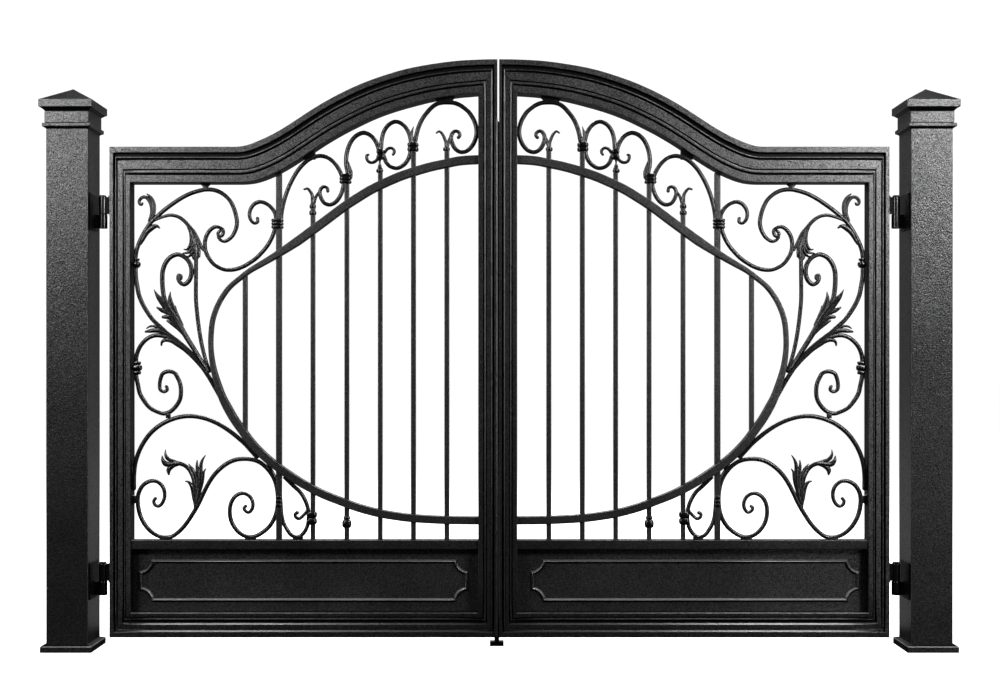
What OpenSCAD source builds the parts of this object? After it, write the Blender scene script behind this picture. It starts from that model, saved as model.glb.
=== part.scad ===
// Double driveway gate: two swing leaves with a curved crown rail, scrolled
// iron infill, a kick panel, two square posts and a drop rod at the meeting line.
// Millimetres. Origin: middle of the underside of the left post's base.
// +X runs across the gateway to the right post, +Y inwards, +Z up.

/* [Posts] */
// Distance between the posts, centre to centre
post_span = 3158; // [3140:1:3200]
// Side of the square post
post_size = 152; // [120:2:180]
// Wall of the hollow post
post_wall = 5; // [3:1:8]
// Side of the base plate
base_size = 188; // [160:2:220]
// Height of the base's upright edge
base_edge = 22; // [16:1:25]
// Height at which the shaft starts
base_top = 28; // [26:1:60]
// Height at which the shaft ends
shaft_top = 1910; // [1700:1:2100]
// Side of the ring under the neck
ring_size = 176; // [164:2:190]
// Side of the neck under the cap
neck_size = 162; // [152:2:170]
// Side of the cap
cap_size = 196; // [180:2:220]

/* [Leaf frame] */
// Hinge edge of a leaf, from the middle of the gateway
leaf_hinge_x = 1438; // [1400:1:1455]
// Meeting line of the leaves, from the middle of the gateway
meet_line = -4.5; // [-4.5:0.5:-4]
// Meeting edge of a leaf, from the meeting line
leaf_meet_x = 5; // [5:0.5:8]
// Underside of the leaves above the ground
leaf_bottom = 45; // [30:1:80]
// Inner edge of the hinge stile, from the middle of the gateway
stile_in = 1361; // [1340:1:1380]
// Inner edge of the meeting stile, from the meeting line
meet_in = 72; // [60:1:84]
// Top of the bottom rail
rail_in = 135; // [110:1:160]
// Underside of the mid rail
mid_low = 368; // [340:1:390]
// Top of the mid rail
mid_high = 402; // [380:1:430]
// Half the depth of the frame members
half_depth = 28; // [22:1:28]

/* [Hinges] */
// Hinge axis, from the middle of the gateway
axis_x = 1469; // [1460:1:1480]
// Radius of the knuckles
barrel_r = 16; // [12:0.5:20]
// Radius of the hinge pins
pin_r = 9; // [7:0.5:11]
// Foot of the upper hinges
upper_hinge = 1554; // [1400:1:1650]
// Foot of the lower hinges
lower_hinge = 196; // [150:1:400]

/* [Ironwork] */
// Setting-out square for the curves, across
square_x = 3.715; // [3.6:0.005:3.8]
// Setting-out square for the curves, up
square_z = 3.70; // [3.6:0.005:3.8]
// Depth of the scroll bars
scroll_depth = 16; // [10:1:24]
// Depth of the hoop
hoop_depth = 44; // [24:1:48]
// Depth of the pickets
picket_depth = 18; // [12:1:24]
// Depth of the cast leaves
leaf_depth = 10; // [6:1:14]

/* [Drop rod] */
// Radius of the drop rod
rod_r = 9; // [6:0.5:12]
// Line of the drop rod, from the middle of the gateway
rod_x = -10; // [-12:1:-10]
// Line of the drop rod, behind the middle of the leaves
rod_y = 48; // [44:1:60]
// Foot of the raised drop rod
rod_low = 18; // [18:1:40]
// Top of the raised drop rod
rod_high = 1960; // [1500:10:2000]
// Height of the keeper on the ground
keeper_high = 16.5; // [10:0.5:30]

/* [Hidden] */
// Every piece by name
// The piece to show
// Facets of the round parts
$fn = 48;
// Middle of the gateway
mid = post_span / 2;
// Textured black coat of the posts
post_black = [0.17, 0.17, 0.175];
// Textured black coat of the leaf frames
frame_black = [0.14, 0.14, 0.145];
// Textured black coat of the bars and leaves
iron_black = [0.11, 0.11, 0.115];
// Smooth black of the hinges and the rod
hard_black = [0.05, 0.05, 0.055];

// ---------------------------------------------------------------- posts
module frustum(a, b, h) {
  cylinder(h = h, d1 = a * sqrt(2), d2 = b * sqrt(2), $fn = 4);
}
module squared(a, h) { translate([-a / 2, -a / 2, 0]) cube([a, a, h]); }
module flare(a, b, z0, z1) {
  translate([0, 0, z0]) rotate([0, 0, 45]) frustum(a, b, z1 - z0);
}
module post_shaft() color(post_black) translate([0, 0, base_top]) difference() {
  squared(post_size, shaft_top - base_top);
  translate([0, 0, -1]) squared(post_size - 2 * post_wall, shaft_top - base_top + 2);
}
module post_base() color(post_black) {
  squared(base_size, base_edge);
  flare(base_size - 1, post_size + 2, base_edge, base_top);
}
module post_collar() color(post_black) {
  flare(post_size, ring_size - 1, shaft_top, shaft_top + 8);
  translate([0, 0, shaft_top + 8]) squared(ring_size, 12);
  translate([0, 0, shaft_top + 20]) squared(neck_size, 44);
}
module post_cap() color(post_black) {
  z = shaft_top + 64;
  flare(neck_size, cap_size - 6, z, z + 14);
  translate([0, 0, z + 14]) squared(cap_size, 26);
  flare(cap_size - 1, 2, z + 40, z + 96);
}

// ---------------------------------------------------------------- hinges
// The pintle belongs to the post: plate, lower knuckle and pin.
module pintle(z, s) color(hard_black) {
  fx = mid - post_size / 2;                 // post face, from the middle
  translate([s * axis_x, 0, z]) {
    cylinder(h = 52, r = barrel_r);
    cylinder(h = 118, r = pin_r);
    translate([0, 0, 118]) cylinder(h = 5, r = 12);
  }
  translate([s > 0 ? axis_x + 8 : -axis_x - (fx - axis_x), -8, z])
    cube([fx - axis_x - 8, 16, 52]);
  translate([s > 0 ? fx - 6 : -fx, -62, z - 9]) cube([6, 84, 135]);
  // thin rear edge of the plate, out of the leaf's way
  translate([s > 0 ? fx - 0.8 : -fx, 21, z - 9]) cube([0.8, 33, 135]);
}
// The eye belongs to the leaf: upper knuckle and plate.
module eye(z, s) color(hard_black) difference() {
  union() {
    translate([s * axis_x, 0, z + 53]) cylinder(h = 64, r = barrel_r);
    translate([s > 0 ? leaf_hinge_x : -axis_x, -8, z + 53])
      cube([axis_x - leaf_hinge_x, 16, 64]);
    translate([s > 0 ? leaf_hinge_x : -leaf_hinge_x - 6, -20, z + 50]) cube([6, 40, 70]);
  }
  translate([s * axis_x, 0, z + 40]) cylinder(h = 100, r = pin_r + 0.05);
}

// ---------------------------------------------------------------- frame
// One moulding for every member: [share of the width from the outer edge, depth].
MOULD = [[0, 1], [0.17, 1], [0.23, 0.6], [0.37, 0.6], [0.38, 0.93], [0.62, 0.93], [0.635, 0.55],
  [0.655, 0.55], [0.735, 0.85], [0.75, 0.55], [0.785, 0.55], [0.795, 1.18], [1, 1.18]];
function blend(a, b, f) = a + (b - a) * f;
// Runs the moulding between an outer and an inner edge line, point by point.
module member(outer, inner) {
  n = len(MOULD);
  m = 2 * n;
  rings = len(outer);
  pts = [for (k = [0:rings - 1]) for (j = [0:m - 1])
    let (q = j < n ? j : m - 1 - j,
      p = blend(outer[k], inner[k], MOULD[q][0]),
      y = MOULD[q][1] * half_depth)
    [p[0], j < n ? -y : y, p[1]]];
  skin = [for (k = [0:rings - 2]) for (j = [0:m - 1]) for (t = [0, 1])
    let (a = k * m + j, b = k * m + (j + 1) % m, c = a + m, d = b + m)
    t == 0 ? [a, c, b] : [b, c, d]];
  low = [for (j = [0:n - 2]) for (t = [0, 1])
    let (a = j, b = j + 1, c = m - 2 - j, d = m - 1 - j)
    t == 0 ? [a, b, c] : [a, c, d]];
  top = [for (j = [0:n - 2]) for (t = [0, 1])
    let (o = (rings - 1) * m, a = o + j, b = o + j + 1, c = o + m - 2 - j, d = o + m - 1 - j)
    t == 0 ? [a, c, b] : [a, d, c]];
  polyhedron(points = pts, faces = concat(skin, low, top));
}
// A mirrored member is listed the other way round, so its skin faces outwards.
function flip(list) = [for (i = [len(list) - 1:-1:0]) list[i]];
function sided(list, s) = [for (p = list) [s * p[0], p[1]]];
module framed(outer, inner, s) {
  if (s < 0) member(sided(outer, s), sided(inner, s));
  else member(flip(sided(outer, s)), flip(sided(inner, s)));
}

// ---------------------------------------------------------------- setting out
// Curves are set out on squares counted from the leaf's hinge edge and its foot
// line: across from 110 at the hinge edge, down to 637 at the foot line.
// s is -1 on the left leaf and 1 on the right one.
function g(p, s) = [s * (leaf_hinge_x + 4 - square_x * (p[0] - 110)),
  leaf_bottom - 5 + square_z * (637 - p[1])];

// Crown rail: top edge and lower edge, paired.
RAIL_TOP = [[111.077, 147], [226, 147], [240, 146.8], [250, 144.6], [262, 139.8], [274, 134], [286, 127],
  [298, 119.2], [312, 110], [328, 100.4], [346, 91], [364, 83], [384, 75.8], [406, 69.4],
  [430, 64.8], [456, 61.4], [480, 60.1], [497, 59.8]];
// Lower edge, point for point.
RAIL_LOW = [[131.5, 183], [230, 183], [245, 182.8], [257, 181], [270, 176.4], [284, 169.4], [298, 160.8],
  [311, 152.2], [325, 142.9], [341, 133.4], [357, 125.1], [373, 117.5], [391, 110.7], [411, 104.8],
  [433, 99.4], [456, 95.9], [470, 94.6], [479, 94]];

// Hoop: middle line of its front face, from the crown end round to the foot end.
HOOP = [[485, 158.4], [460, 160], [446, 162.7], [430, 166], [413, 171], [400, 175.4], [382, 183],
  [370, 189], [360, 194.8], [346, 203.8], [335, 211.5], [325, 219], [313, 227.8], [300, 237.4], [290, 244.2],
  [280, 250.6], [270, 256.8], [260, 262.6], [250, 268.8], [240, 276.4], [231, 286], [224, 296.5], [218, 308],
  [213.5, 320], [211, 333], [210.7, 346], [211.7, 358], [214, 370], [218, 384], [223, 397],
  [228, 407], [235, 419], [243, 431], [250, 440.5], [260, 452], [270, 461], [280, 468.7],
  [290, 475.5], [300, 482], [310, 487.6], [320, 492.7], [330, 497], [340, 500.8], [350, 504.6],
  [360, 508], [380, 513.2], [400, 516.5], [413, 518], [446, 519.8], [485, 520.3]];
// Pickets: [line, top, foot, width]
PICKETS = [[245.3, 272, 438, 5.2], [278.7, 173, 539.5, 5.3], [312.8, 203, 539.5, 4.7],
  [346.7, 182, 539.5, 4.8], [380, 168, 539.5, 4.3], [413, 150, 539.5, 4.3], [446.5, 148, 539.5, 4.3]];

// Scroll from the hinge stile up under the crown rail
S1 = [[135.5, 258], [136.5, 251], [139, 243.5], [142.5, 236], [146.5, 229], [151, 222.5], [156, 216.5],
  [163, 209.5], [170, 203.5], [180, 197], [190, 192.3], [200, 190], [206, 189.6], [214, 190.9],
  [221.5, 194.5], [228, 200.5], [233, 208.3], [236.2, 216.5], [237, 223], [235.8, 229.5],
  [232.5, 236], [229, 239.5], [224.8, 241.5], [220.7, 240.3]];
// Scroll from the upper eye to the second picket's curl
S2 = [[221.7, 236], [223.3, 233], [222.7, 229.8], [219.9, 227.6], [215.4, 227], [211, 229.5],
  [207.3, 234.4], [205.3, 240], [204.9, 246], [206, 252.3], [208.9, 258], [213.4, 263.7], [219, 267.5],
  [224.8, 269.6], [230.5, 270], [237, 269], [244.3, 266.2], [250, 262.8], [256, 258.5], [262, 252.5],
  [268, 245], [272.5, 236.5], [275, 228.5], [276, 219], [275, 213.5], [271.5, 207.8], [266.5, 203.8],
  [260.5, 202], [254.8, 204], [250.8, 209], [249.5, 215], [251, 220.3], [254.5, 223.3], [257.7, 222]];
// Tendril with the husk
S3 = [[153, 221.5], [158, 219], [164, 216.7], [170, 215.4], [177, 216.3], [183, 219.8], [188, 225],
  [192, 231], [194.5, 238], [195.5, 247], [196, 256], [196, 275], [196, 300], [197, 312],
  [198.5, 325], [200.5, 338], [203, 350], [206, 361], [209.5, 371]];
// Volute beside the tendril
S4 = [[172, 314], [164.5, 299], [163, 291], [162.3, 281], [162.8, 271], [166, 262.5], [171, 257],
  [178, 254.5], [184, 256.7], [188.8, 261.5], [191.3, 268], [191.3, 275], [188.8, 281],
  [184.5, 284.3], [180.3, 282.5], [178.2, 278.5]];
// Stem from the hinge stile to the hoop
S5 = [[135.5, 268], [136.3, 277], [138.3, 286], [141.2, 295], [145, 303.5], [149.5, 311.8],
  [154.5, 319.5], [160.5, 326.7], [167, 332.7], [174, 338], [181, 343.5], [188, 350], [195, 357.5],
  [202, 366.5], [209, 377], [216, 389], [223, 401.5], [229, 411.5], [236, 422]];
// Middle volute on the hinge stile
S6 = [[195, 358], [187, 349.5], [178, 342.5], [170, 338], [163, 336], [156, 335.3], [150, 337],
  [144.5, 341], [139.8, 347], [137, 354], [136, 361], [136.3, 376], [138, 385], [141, 393],
  [145.5, 400.5], [151, 407], [157.5, 411.5], [164, 413.3], [170, 411.5], [176, 406], [180, 399],
  [182, 391], [181.7, 383], [179, 377], [174.5, 372.7], [169, 371.2], [163, 373.3], [159.7, 378.3],
  [158.7, 384], [160.3, 389.3], [164, 391.5]];
// Arch from the hoop to the hinge stile
S7 = [[258, 458], [250, 449], [240, 439], [230, 431], [220, 424.5], [210, 419.8], [200, 416.9],
  [190, 415.8], [180, 416.8], [170, 419.8], [160, 425], [150.5, 433], [143.5, 442.5],
  [138.5, 452.5], [135.3, 463], [134, 475], [134, 488]];
// Double volute on the mid rail
S8 = [[158.5, 505.7], [162, 503], [164.5, 497], [164.2, 490], [161.3, 484.3], [156.3, 480.8],
  [150, 480.8], [144, 484], [139.8, 489.8], [137.8, 497], [138.2, 506], [140.3, 515], [144.3, 523.2],
  [150, 530], [157, 534.7], [165, 536.8], [173, 535.3], [180, 531.3], [187, 523.8], [193, 514.2],
  [198, 504.5], [203, 494], [208, 484], [213.5, 475.5], [220, 468.5], [228, 462.6], [236, 459.4],
  [244, 458.5], [251, 459], [258, 461], [264, 465], [270, 471.5], [274.5, 479.3], [277, 488.5],
  [277.8, 498], [277, 509], [274, 518.5], [269, 526.3], [262, 532.2], [255, 535.8], [249, 536.3],
  [242, 534], [235.7, 528.3], [231.3, 520.5], [229.8, 511], [231.2, 502.3], [235, 496.3],
  [240, 493.2], [245.3, 493.2], [250, 496.3], [252.8, 502], [252.3, 508], [249, 511.8]];
// Loop between the second and third pickets
S9 = [[284, 474], [293, 485], [300, 491.5], [305, 499.5], [308, 508.5], [308.6, 517], [307.5, 525],
  [304, 532], [298, 536.5], [291.5, 534.5], [286.5, 528], [282.8, 520], [281.2, 510], [280.5, 500],
  [279, 488.5], [275, 477.5], [268, 463]];
// Small curl in that loop
S9b = [[307, 511], [302.5, 515.8], [298.8, 518.2], [295.7, 516.3]];
// Crown scroll between the second and fourth pickets
S10 = [[281, 222], [282.5, 208], [285, 198], [289, 187], [294, 177], [299, 169.3], [304, 163.8],
  [309.5, 159.5], [315.5, 157], [321.5, 156.3], [328.5, 158.3], [334.5, 163.3], [339, 169.8],
  [342, 176.5], [343.7, 184], [342.3, 191], [339.3, 197.8], [335, 202.8], [330, 204.8], [325, 203.5],
  [321.3, 198.8], [319.8, 193], [321.2, 188.7], [324.5, 186.8]];
// Crown arch between the fourth and fifth pickets
S11 = [[348.5, 178], [346.3, 165.5], [346.3, 157], [348.3, 148], [352.2, 140.3], [357.5, 135.3],
  [364, 133.2], [370.8, 135.8], [375.8, 142], [378.5, 149], [380, 157]];
// Small curl under that arch
S11b = [[380, 154], [376.3, 160.8], [372.5, 162.8], [368.8, 162], [366.8, 158.8]];
// Crown arch between the fifth and sixth pickets
S12 = [[381, 153], [381.8, 140], [384, 131.8], [389, 125], [396, 122], [403, 125], [408, 131.5],
  [410.5, 139.5], [411, 147]];
// Lower half of that loop
S12a = [[411, 145], [410.3, 153], [408.2, 159.5], [404, 165], [397.5, 168.3], [391, 167],
  [386.3, 162.7], [384, 157], [381, 151]];
// Small curl inside that loop
S12b = [[382, 155], [387.5, 149.3], [391, 148.2], [393.8, 150], [394.3, 152.8]];
// Crown scroll beside the meeting stile
S13 = [[415, 145], [417, 136], [419.5, 127.5], [423.5, 119], [428.5, 111.5], [434.5, 106.2], [441.5, 103.5],
  [449, 103], [457, 105], [464, 109], [470, 115.3], [474, 122.5], [476, 131], [475.3, 139],
  [472.3, 145.8], [467.3, 150.7], [461, 152.6], [455.3, 149.8], [452.2, 144.5], [451, 138.8],
  [452.8, 134.3], [456.3, 132.3]];

function unit(v) = v / max(norm(v), 0.001);
function along(P, i) = unit(P[min(i + 1, len(P) - 1)] - P[max(i - 1, 0)]);
function edge(P, i, h) = P[i] + h * [-along(P, i)[1], along(P, i)[0]];
// Full width along the bar, drawn down over the last eighth at each end.
function thin(u, a, b) = u < 0.125 ? blend(a, 1, u * 8) : u > 0.875 ? blend(b, 1, (1 - u) * 8) : 1;
module bar(P, w, s, a = 1, b = 1) {
  n = len(P) - 1;
  for (i = [0:n - 1]) {
    h0 = w / 2 * thin(i / n, a, b);
    h1 = w / 2 * thin((i + 1) / n, a, b);
    polygon([g(edge(P, i, h0), s), g(edge(P, i + 1, h1), s), g(edge(P, i + 1, -h1), s), g(edge(P, i, -h0), s)]);
  }
}
module patch(P, s) polygon([for (p = P) g(p, s)]);
module upright(depth) rotate([90, 0, 0]) linear_extrude(height = depth, center = true) offset(delta = 0.2) children();

module hoop_width(s) {
  n = len(HOOP) - 1;
  for (i = [0:n - 1]) polygon([
    g(edge(HOOP, i, hw(i)), s), g(edge(HOOP, i + 1, hw(i + 1)), s),
    g(edge(HOOP, i + 1, -hw(i + 1)), s), g(edge(HOOP, i, -hw(i)), s)]);
}
function hw(i) = i < 21 ? 3.4 : i < 28 ? 2.7 : 3.6;
module grille(s) color(iron_black) {
  upright(hoop_depth) hoop_width(s);
  for (p = PICKETS) {
    a = g([p[0] - p[3] / 2, p[2]], s);
    b = g([p[0] + p[3] / 2, p[1]], s);
    translate([min(a[0], b[0]), -picket_depth / 2, a[1]])
      cube([abs(b[0] - a[0]), picket_depth, b[1] - a[1]]);
  }
}
module crown_scrolls(s) color(iron_black) upright(scroll_depth) {
  bar(S10, 3.8, s, 1, 0.6);
  bar(S11, 3.8, s);
  bar(S11b, 2.6, s, 1, 0.6);
  bar(S12, 3.8, s);
  bar(S12a, 3.8, s);
  bar(S12b, 2.4, s, 0.6, 0.8);
  bar(S13, 4, s, 1, 0.6);
  patch([[303, 150], [316, 150], [316, 158], [303, 164]], s);
  patch([[438, 96], [453, 96], [453, 103], [438, 104]], s);
  patch([[475, 126], [485, 126], [485, 137], [475, 137]], s);
}
module upper_scrolls(s) color(iron_black) upright(scroll_depth) {
  bar(S1, 3.6, s, 1, 0.6);
  bar(S2, 3.6, s, 0.6, 0.6);
  bar(S3, 3.6, s, 0.5, 1);
  bar(S4, 3.6, s, 1, 0.7);
  patch([[201, 181], [210, 181], [210, 190], [201, 190]], s);
}
module lower_scrolls(s) color(iron_black) upright(scroll_depth) {
  bar(S5, 4, s);
  bar(S6, 3.6, s, 1, 0.6);
  bar(S7, 4, s);
  bar(S8, 3.8, s, 0.7, 0.6);
  bar(S9, 3.6, s);
  bar(S9b, 2, s);
  patch([[160, 535], [169, 535], [169, 540], [160, 540]], s);
  patch([[245, 535], [256, 535], [256, 540], [245, 540]], s);
  patch([[293, 535], [303, 535], [303, 540], [293, 540]], s);
  patch([[165, 412], [171, 412], [171, 419], [165, 419]], s);
  patch([[131, 455], [135, 455], [135, 510], [131, 510]], s);
  patch([[131, 488], [139, 488], [139, 510], [131, 510]], s);
}
module leafwork(s) color(iron_black) upright(leaf_depth) {
  // husk on the tendril
  patch([[184, 220], [190, 229], [194, 227], [200.5, 243], [203.5, 250.5], [199, 252], [197.5, 258],
    [192, 258], [188, 256], [183.5, 253], [187.5, 247], [189.5, 240], [189, 232]], s);
  // sprig in the top corner
  patch([[148.5, 225], [150.5, 207], [147, 199], [142, 199], [140.5, 203], [142, 205], [138.5, 204],
    [139, 199], [145, 196.5], [147.5, 194], [154, 200], [155.5, 206], [154.5, 218]], s);
  // blade beside the stem
  patch([[139.5, 245], [145, 234.5], [150, 228.5], [155, 225], [159, 228], [155, 228.5], [150, 232], [145, 238]], s);
  // upper acanthus
  patch([[153.5, 289], [160, 293], [170, 292.5], [171, 300], [175.5, 306], [178, 316], [184, 329],
    [195, 349], [207, 368], [203, 370], [186, 348], [174, 332], [167.5, 321], [163, 317], [164, 313],
    [157.5, 308], [160, 303], [156, 297]], s);
  // lower acanthus
  patch([[146.5, 328], [152, 325], [158, 326.5], [166, 332], [176, 337], [188, 347], [204, 366], [202, 370],
    [190, 356], [180, 347], [170, 342.5], [164, 343], [161.5, 345], [161.5, 341.5], [165, 338.5],
    [156, 333.5], [145.5, 331.5]], s);
  // flower and leaf on the lower scroll
  patch([[195, 508], [192, 499], [193, 491], [190.5, 483.5], [186, 481.5], [189.5, 479.5], [193, 482],
    [191.5, 473], [187, 467], [180, 463.5], [174, 466], [168.5, 473.5], [168, 469], [164, 466.5],
    [166, 462], [162.5, 457], [165, 458], [165, 450], [169, 455.5], [177, 459.5], [185, 461],
    [189, 463.5], [194, 468], [197.5, 460.5], [199, 467], [205.5, 455.5], [205.5, 462], [202, 469],
    [206, 468.5], [201, 477], [203, 489]], s);
  // small leaves over the pickets
  patch([[304, 190], [307, 187.5], [310.5, 189.5], [313, 195], [316, 190.5], [320, 191], [316.5, 198],
    [315, 206], [311, 206], [310.5, 196], [308, 190.5]], s);
  patch([[436.5, 133], [439.5, 131], [443, 133.5], [446.5, 140], [449, 135.5], [451.5, 136], [449, 144],
    [448.5, 149], [444.5, 149], [443.5, 140], [441, 134.5]], s);
  patch([[410.5, 145], [411.5, 133], [413.5, 127], [417.5, 131], [416.5, 145]], s);
  patch([[347.5, 180], [348, 164], [350.5, 171], [352, 178]], s);
}
// Collars: [line, top, foot, width]
COLLARS = [[277.5, 219, 229, 12], [345.5, 174, 184, 12], [413, 143, 152, 11], [380.5, 149, 160, 9],
  [380, 166, 175, 6.6], [312.8, 204.5, 209, 6.6], [312.8, 211, 215.5, 7.4], [446.5, 148, 151.5, 7],
  [136.5, 259, 268.5, 9], [137.3, 361, 374, 8.6], [311.5, 511, 524, 10.6], [346.8, 516, 527, 9.4],
  [278.7, 496, 506, 5.8]];
module collars(s) color(iron_black) for (c = COLLARS) {
  a = g([c[0], c[2]], s);
  b = g([c[0], c[1]], s);
  d = min(c[3] * square_x, 32);
  translate([a[0] - c[3] * square_x / 2, -d / 2, a[1]])
    cube([c[3] * square_x, d, b[1] - a[1]]);
}

// ---------------------------------------------------------------- leaf frame
// Outer and inner edge of a meeting stile, counted from the middle of the gateway.
function meet_edge(s) = leaf_meet_x + s * meet_line;
function meet_face(s) = meet_in + s * meet_line;
module hinge_stile(s) color(frame_black) framed(
  [[leaf_hinge_x, leaf_bottom], g(RAIL_TOP[0], 1)],
  [[stile_in, rail_in], g(RAIL_LOW[0], 1)], s);
module meeting_stile(s) color(frame_black) framed(
  flip([[meet_edge(s), leaf_bottom], [meet_edge(s), g(RAIL_TOP[17], 1)[1]]]),
  flip([[meet_face(s), rail_in], [meet_face(s), g(RAIL_LOW[17], 1)[1]]]), s);
module bottom_rail(s) color(frame_black) framed(
  flip([[leaf_hinge_x, leaf_bottom], [meet_edge(s), leaf_bottom]]),
  flip([[stile_in, rail_in], [meet_face(s), rail_in]]), s);
module top_rail(s) color(frame_black) framed(
  [for (i = [0:17]) i == 17 ? [meet_edge(s), g(RAIL_TOP[17], 1)[1]] : g(RAIL_TOP[i], 1)],
  [for (i = [0:17]) i == 17 ? [meet_face(s), g(RAIL_LOW[17], 1)[1]] : g(RAIL_LOW[i], 1)], s);
module between(y, d, z0, z1, s) {
  translate([s > 0 ? meet_face(s) : -stile_in, y, z0]) cube([stile_in - meet_face(s), d, z1 - z0]);
}
module mid_rail(s) color(frame_black) between(-24, 48, mid_low, mid_high, s);
module kick_panel(s) color(frame_black) between(16, 6, rail_in, mid_low, s);
// Raised bead with scooped corners, on both faces of the kick panel.
module scooped(i, s) difference() {
  x0 = 116 + i;
  x1 = 1338 - i;
  z0 = 169 + i;
  z1 = 320 - i;
  translate([s > 0 ? x0 : -x1, z0]) square([x1 - x0, z1 - z0]);
  for (x = [116, 1338]) for (z = [169, 320]) translate([s * x, z]) circle(r = 43 + i);
}
module panel_bead(s) color(frame_black) for (y = [16, 26])
  translate([0, y, 0]) rotate([90, 0, 0]) linear_extrude(height = y < 20 ? 8 : 4) difference() {
    scooped(0, s);
    scooped(10, s);
  }

// ---------------------------------------------------------------- meeting line
module meeting_strip() color(frame_black) translate([meet_line - 13, -half_depth - 7, leaf_bottom + 4]) cube([12.8, 7, 1905]);
module rod_guides() color(hard_black) for (z = [260, 1000, 1740]) difference() {
  translate([rod_x - 35, half_depth, z]) cube([41, rod_y + 14 - half_depth, 30]);
  translate([rod_x, rod_y, z - 1]) cylinder(h = 32, r = rod_r + 0.05);
}
module drop_rod() color(hard_black) translate([rod_x, rod_y, rod_low]) cylinder(h = rod_high - rod_low, r = rod_r);
module ground_keeper() color(hard_black) difference() {
  translate([rod_x - 26, rod_y - 17, 0]) cube([52, 34, keeper_high]);
  translate([rod_x, rod_y, -1]) cylinder(h = keeper_high + 2, r = rod_r + 4);
}

post_shaft();  // left_post_shaft
post_base();  // left_post_base
post_collar();  // left_post_collar
post_cap();  // left_post_cap
translate([post_span, 0, 0]) post_shaft();  // right_post_shaft
translate([post_span, 0, 0]) post_base();  // right_post_base
translate([post_span, 0, 0]) post_collar();  // right_post_collar
translate([post_span, 0, 0]) post_cap();  // right_post_cap
translate([mid, 0, 0]) pintle(upper_hinge, -1);  // left_upper_hinge_pintle
translate([mid, 0, 0]) pintle(lower_hinge, -1);  // left_lower_hinge_pintle
translate([mid, 0, 0]) pintle(upper_hinge, 1);  // right_upper_hinge_pintle
translate([mid, 0, 0]) pintle(lower_hinge, 1);  // right_lower_hinge_pintle
translate([mid, 0, 0]) ground_keeper();
translate([mid, 0, 0]) hinge_stile(-1);  // left_hinge_stile
translate([mid, 0, 0]) meeting_stile(-1);  // left_meeting_stile
translate([mid, 0, 0]) top_rail(-1);  // left_top_rail
translate([mid, 0, 0]) bottom_rail(-1);  // left_bottom_rail
translate([mid, 0, 0]) mid_rail(-1);  // left_mid_rail
translate([mid, 0, 0]) kick_panel(-1);  // left_kick_panel
translate([mid, 0, 0]) panel_bead(-1);  // left_panel_bead
translate([mid, 0, 0]) grille(-1);  // left_grille
translate([mid, 0, 0]) crown_scrolls(-1);  // left_crown_scrolls
translate([mid, 0, 0]) upper_scrolls(-1);  // left_upper_scrolls
translate([mid, 0, 0]) lower_scrolls(-1);  // left_lower_scrolls
translate([mid, 0, 0]) leafwork(-1);  // left_leafwork
translate([mid, 0, 0]) collars(-1);  // left_collars
translate([mid, 0, 0]) eye(upper_hinge, -1);  // left_upper_hinge_eye
translate([mid, 0, 0]) eye(lower_hinge, -1);  // left_lower_hinge_eye
translate([mid, 0, 0]) meeting_strip();  // left_meeting_strip
translate([mid, 0, 0]) rod_guides();  // left_rod_guides
translate([mid, 0, 0]) hinge_stile(1);  // right_hinge_stile
translate([mid, 0, 0]) meeting_stile(1);  // right_meeting_stile
translate([mid, 0, 0]) top_rail(1);  // right_top_rail
translate([mid, 0, 0]) bottom_rail(1);  // right_bottom_rail
translate([mid, 0, 0]) mid_rail(1);  // right_mid_rail
translate([mid, 0, 0]) kick_panel(1);  // right_kick_panel
translate([mid, 0, 0]) panel_bead(1);  // right_panel_bead
translate([mid, 0, 0]) grille(1);  // right_grille
translate([mid, 0, 0]) crown_scrolls(1);  // right_crown_scrolls
translate([mid, 0, 0]) upper_scrolls(1);  // right_upper_scrolls
translate([mid, 0, 0]) lower_scrolls(1);  // right_lower_scrolls
translate([mid, 0, 0]) leafwork(1);  // right_leafwork
translate([mid, 0, 0]) collars(1);  // right_collars
translate([mid, 0, 0]) eye(upper_hinge, 1);  // right_upper_hinge_eye
translate([mid, 0, 0]) eye(lower_hinge, 1);  // right_lower_hinge_eye
translate([mid, 0, 0]) drop_rod();
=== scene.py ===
"""Looks of the double driveway gate: fine meshes for the moulded frames, the scrolled bars, the cast leaves, the
collars, the posts and the hinges, in textured black powder coat with painted highlights and painted shade, with a pale
floor, soft lights and the camera."""

import math

import bmesh
import bpy
import numpy as np
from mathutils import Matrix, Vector

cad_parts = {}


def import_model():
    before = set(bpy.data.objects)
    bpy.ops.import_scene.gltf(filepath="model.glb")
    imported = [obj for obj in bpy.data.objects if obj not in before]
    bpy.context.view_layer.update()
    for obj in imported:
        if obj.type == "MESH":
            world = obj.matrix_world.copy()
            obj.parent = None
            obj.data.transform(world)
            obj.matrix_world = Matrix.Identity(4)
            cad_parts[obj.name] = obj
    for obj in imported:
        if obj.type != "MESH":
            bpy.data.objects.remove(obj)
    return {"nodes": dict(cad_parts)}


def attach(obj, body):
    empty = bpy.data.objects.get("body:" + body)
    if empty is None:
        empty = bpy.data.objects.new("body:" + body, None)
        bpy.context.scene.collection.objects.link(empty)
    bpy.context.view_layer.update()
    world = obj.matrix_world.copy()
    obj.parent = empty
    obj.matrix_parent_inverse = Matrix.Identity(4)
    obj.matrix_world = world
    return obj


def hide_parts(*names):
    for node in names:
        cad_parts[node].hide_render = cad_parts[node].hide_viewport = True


FRAME_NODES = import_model()["nodes"]
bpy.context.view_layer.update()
scene = bpy.context.scene

MM = 0.001
MID = 1579.0  # middle of the gateway, mm from the left post's axis

# ------------------------------------------------------------------ materials


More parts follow.
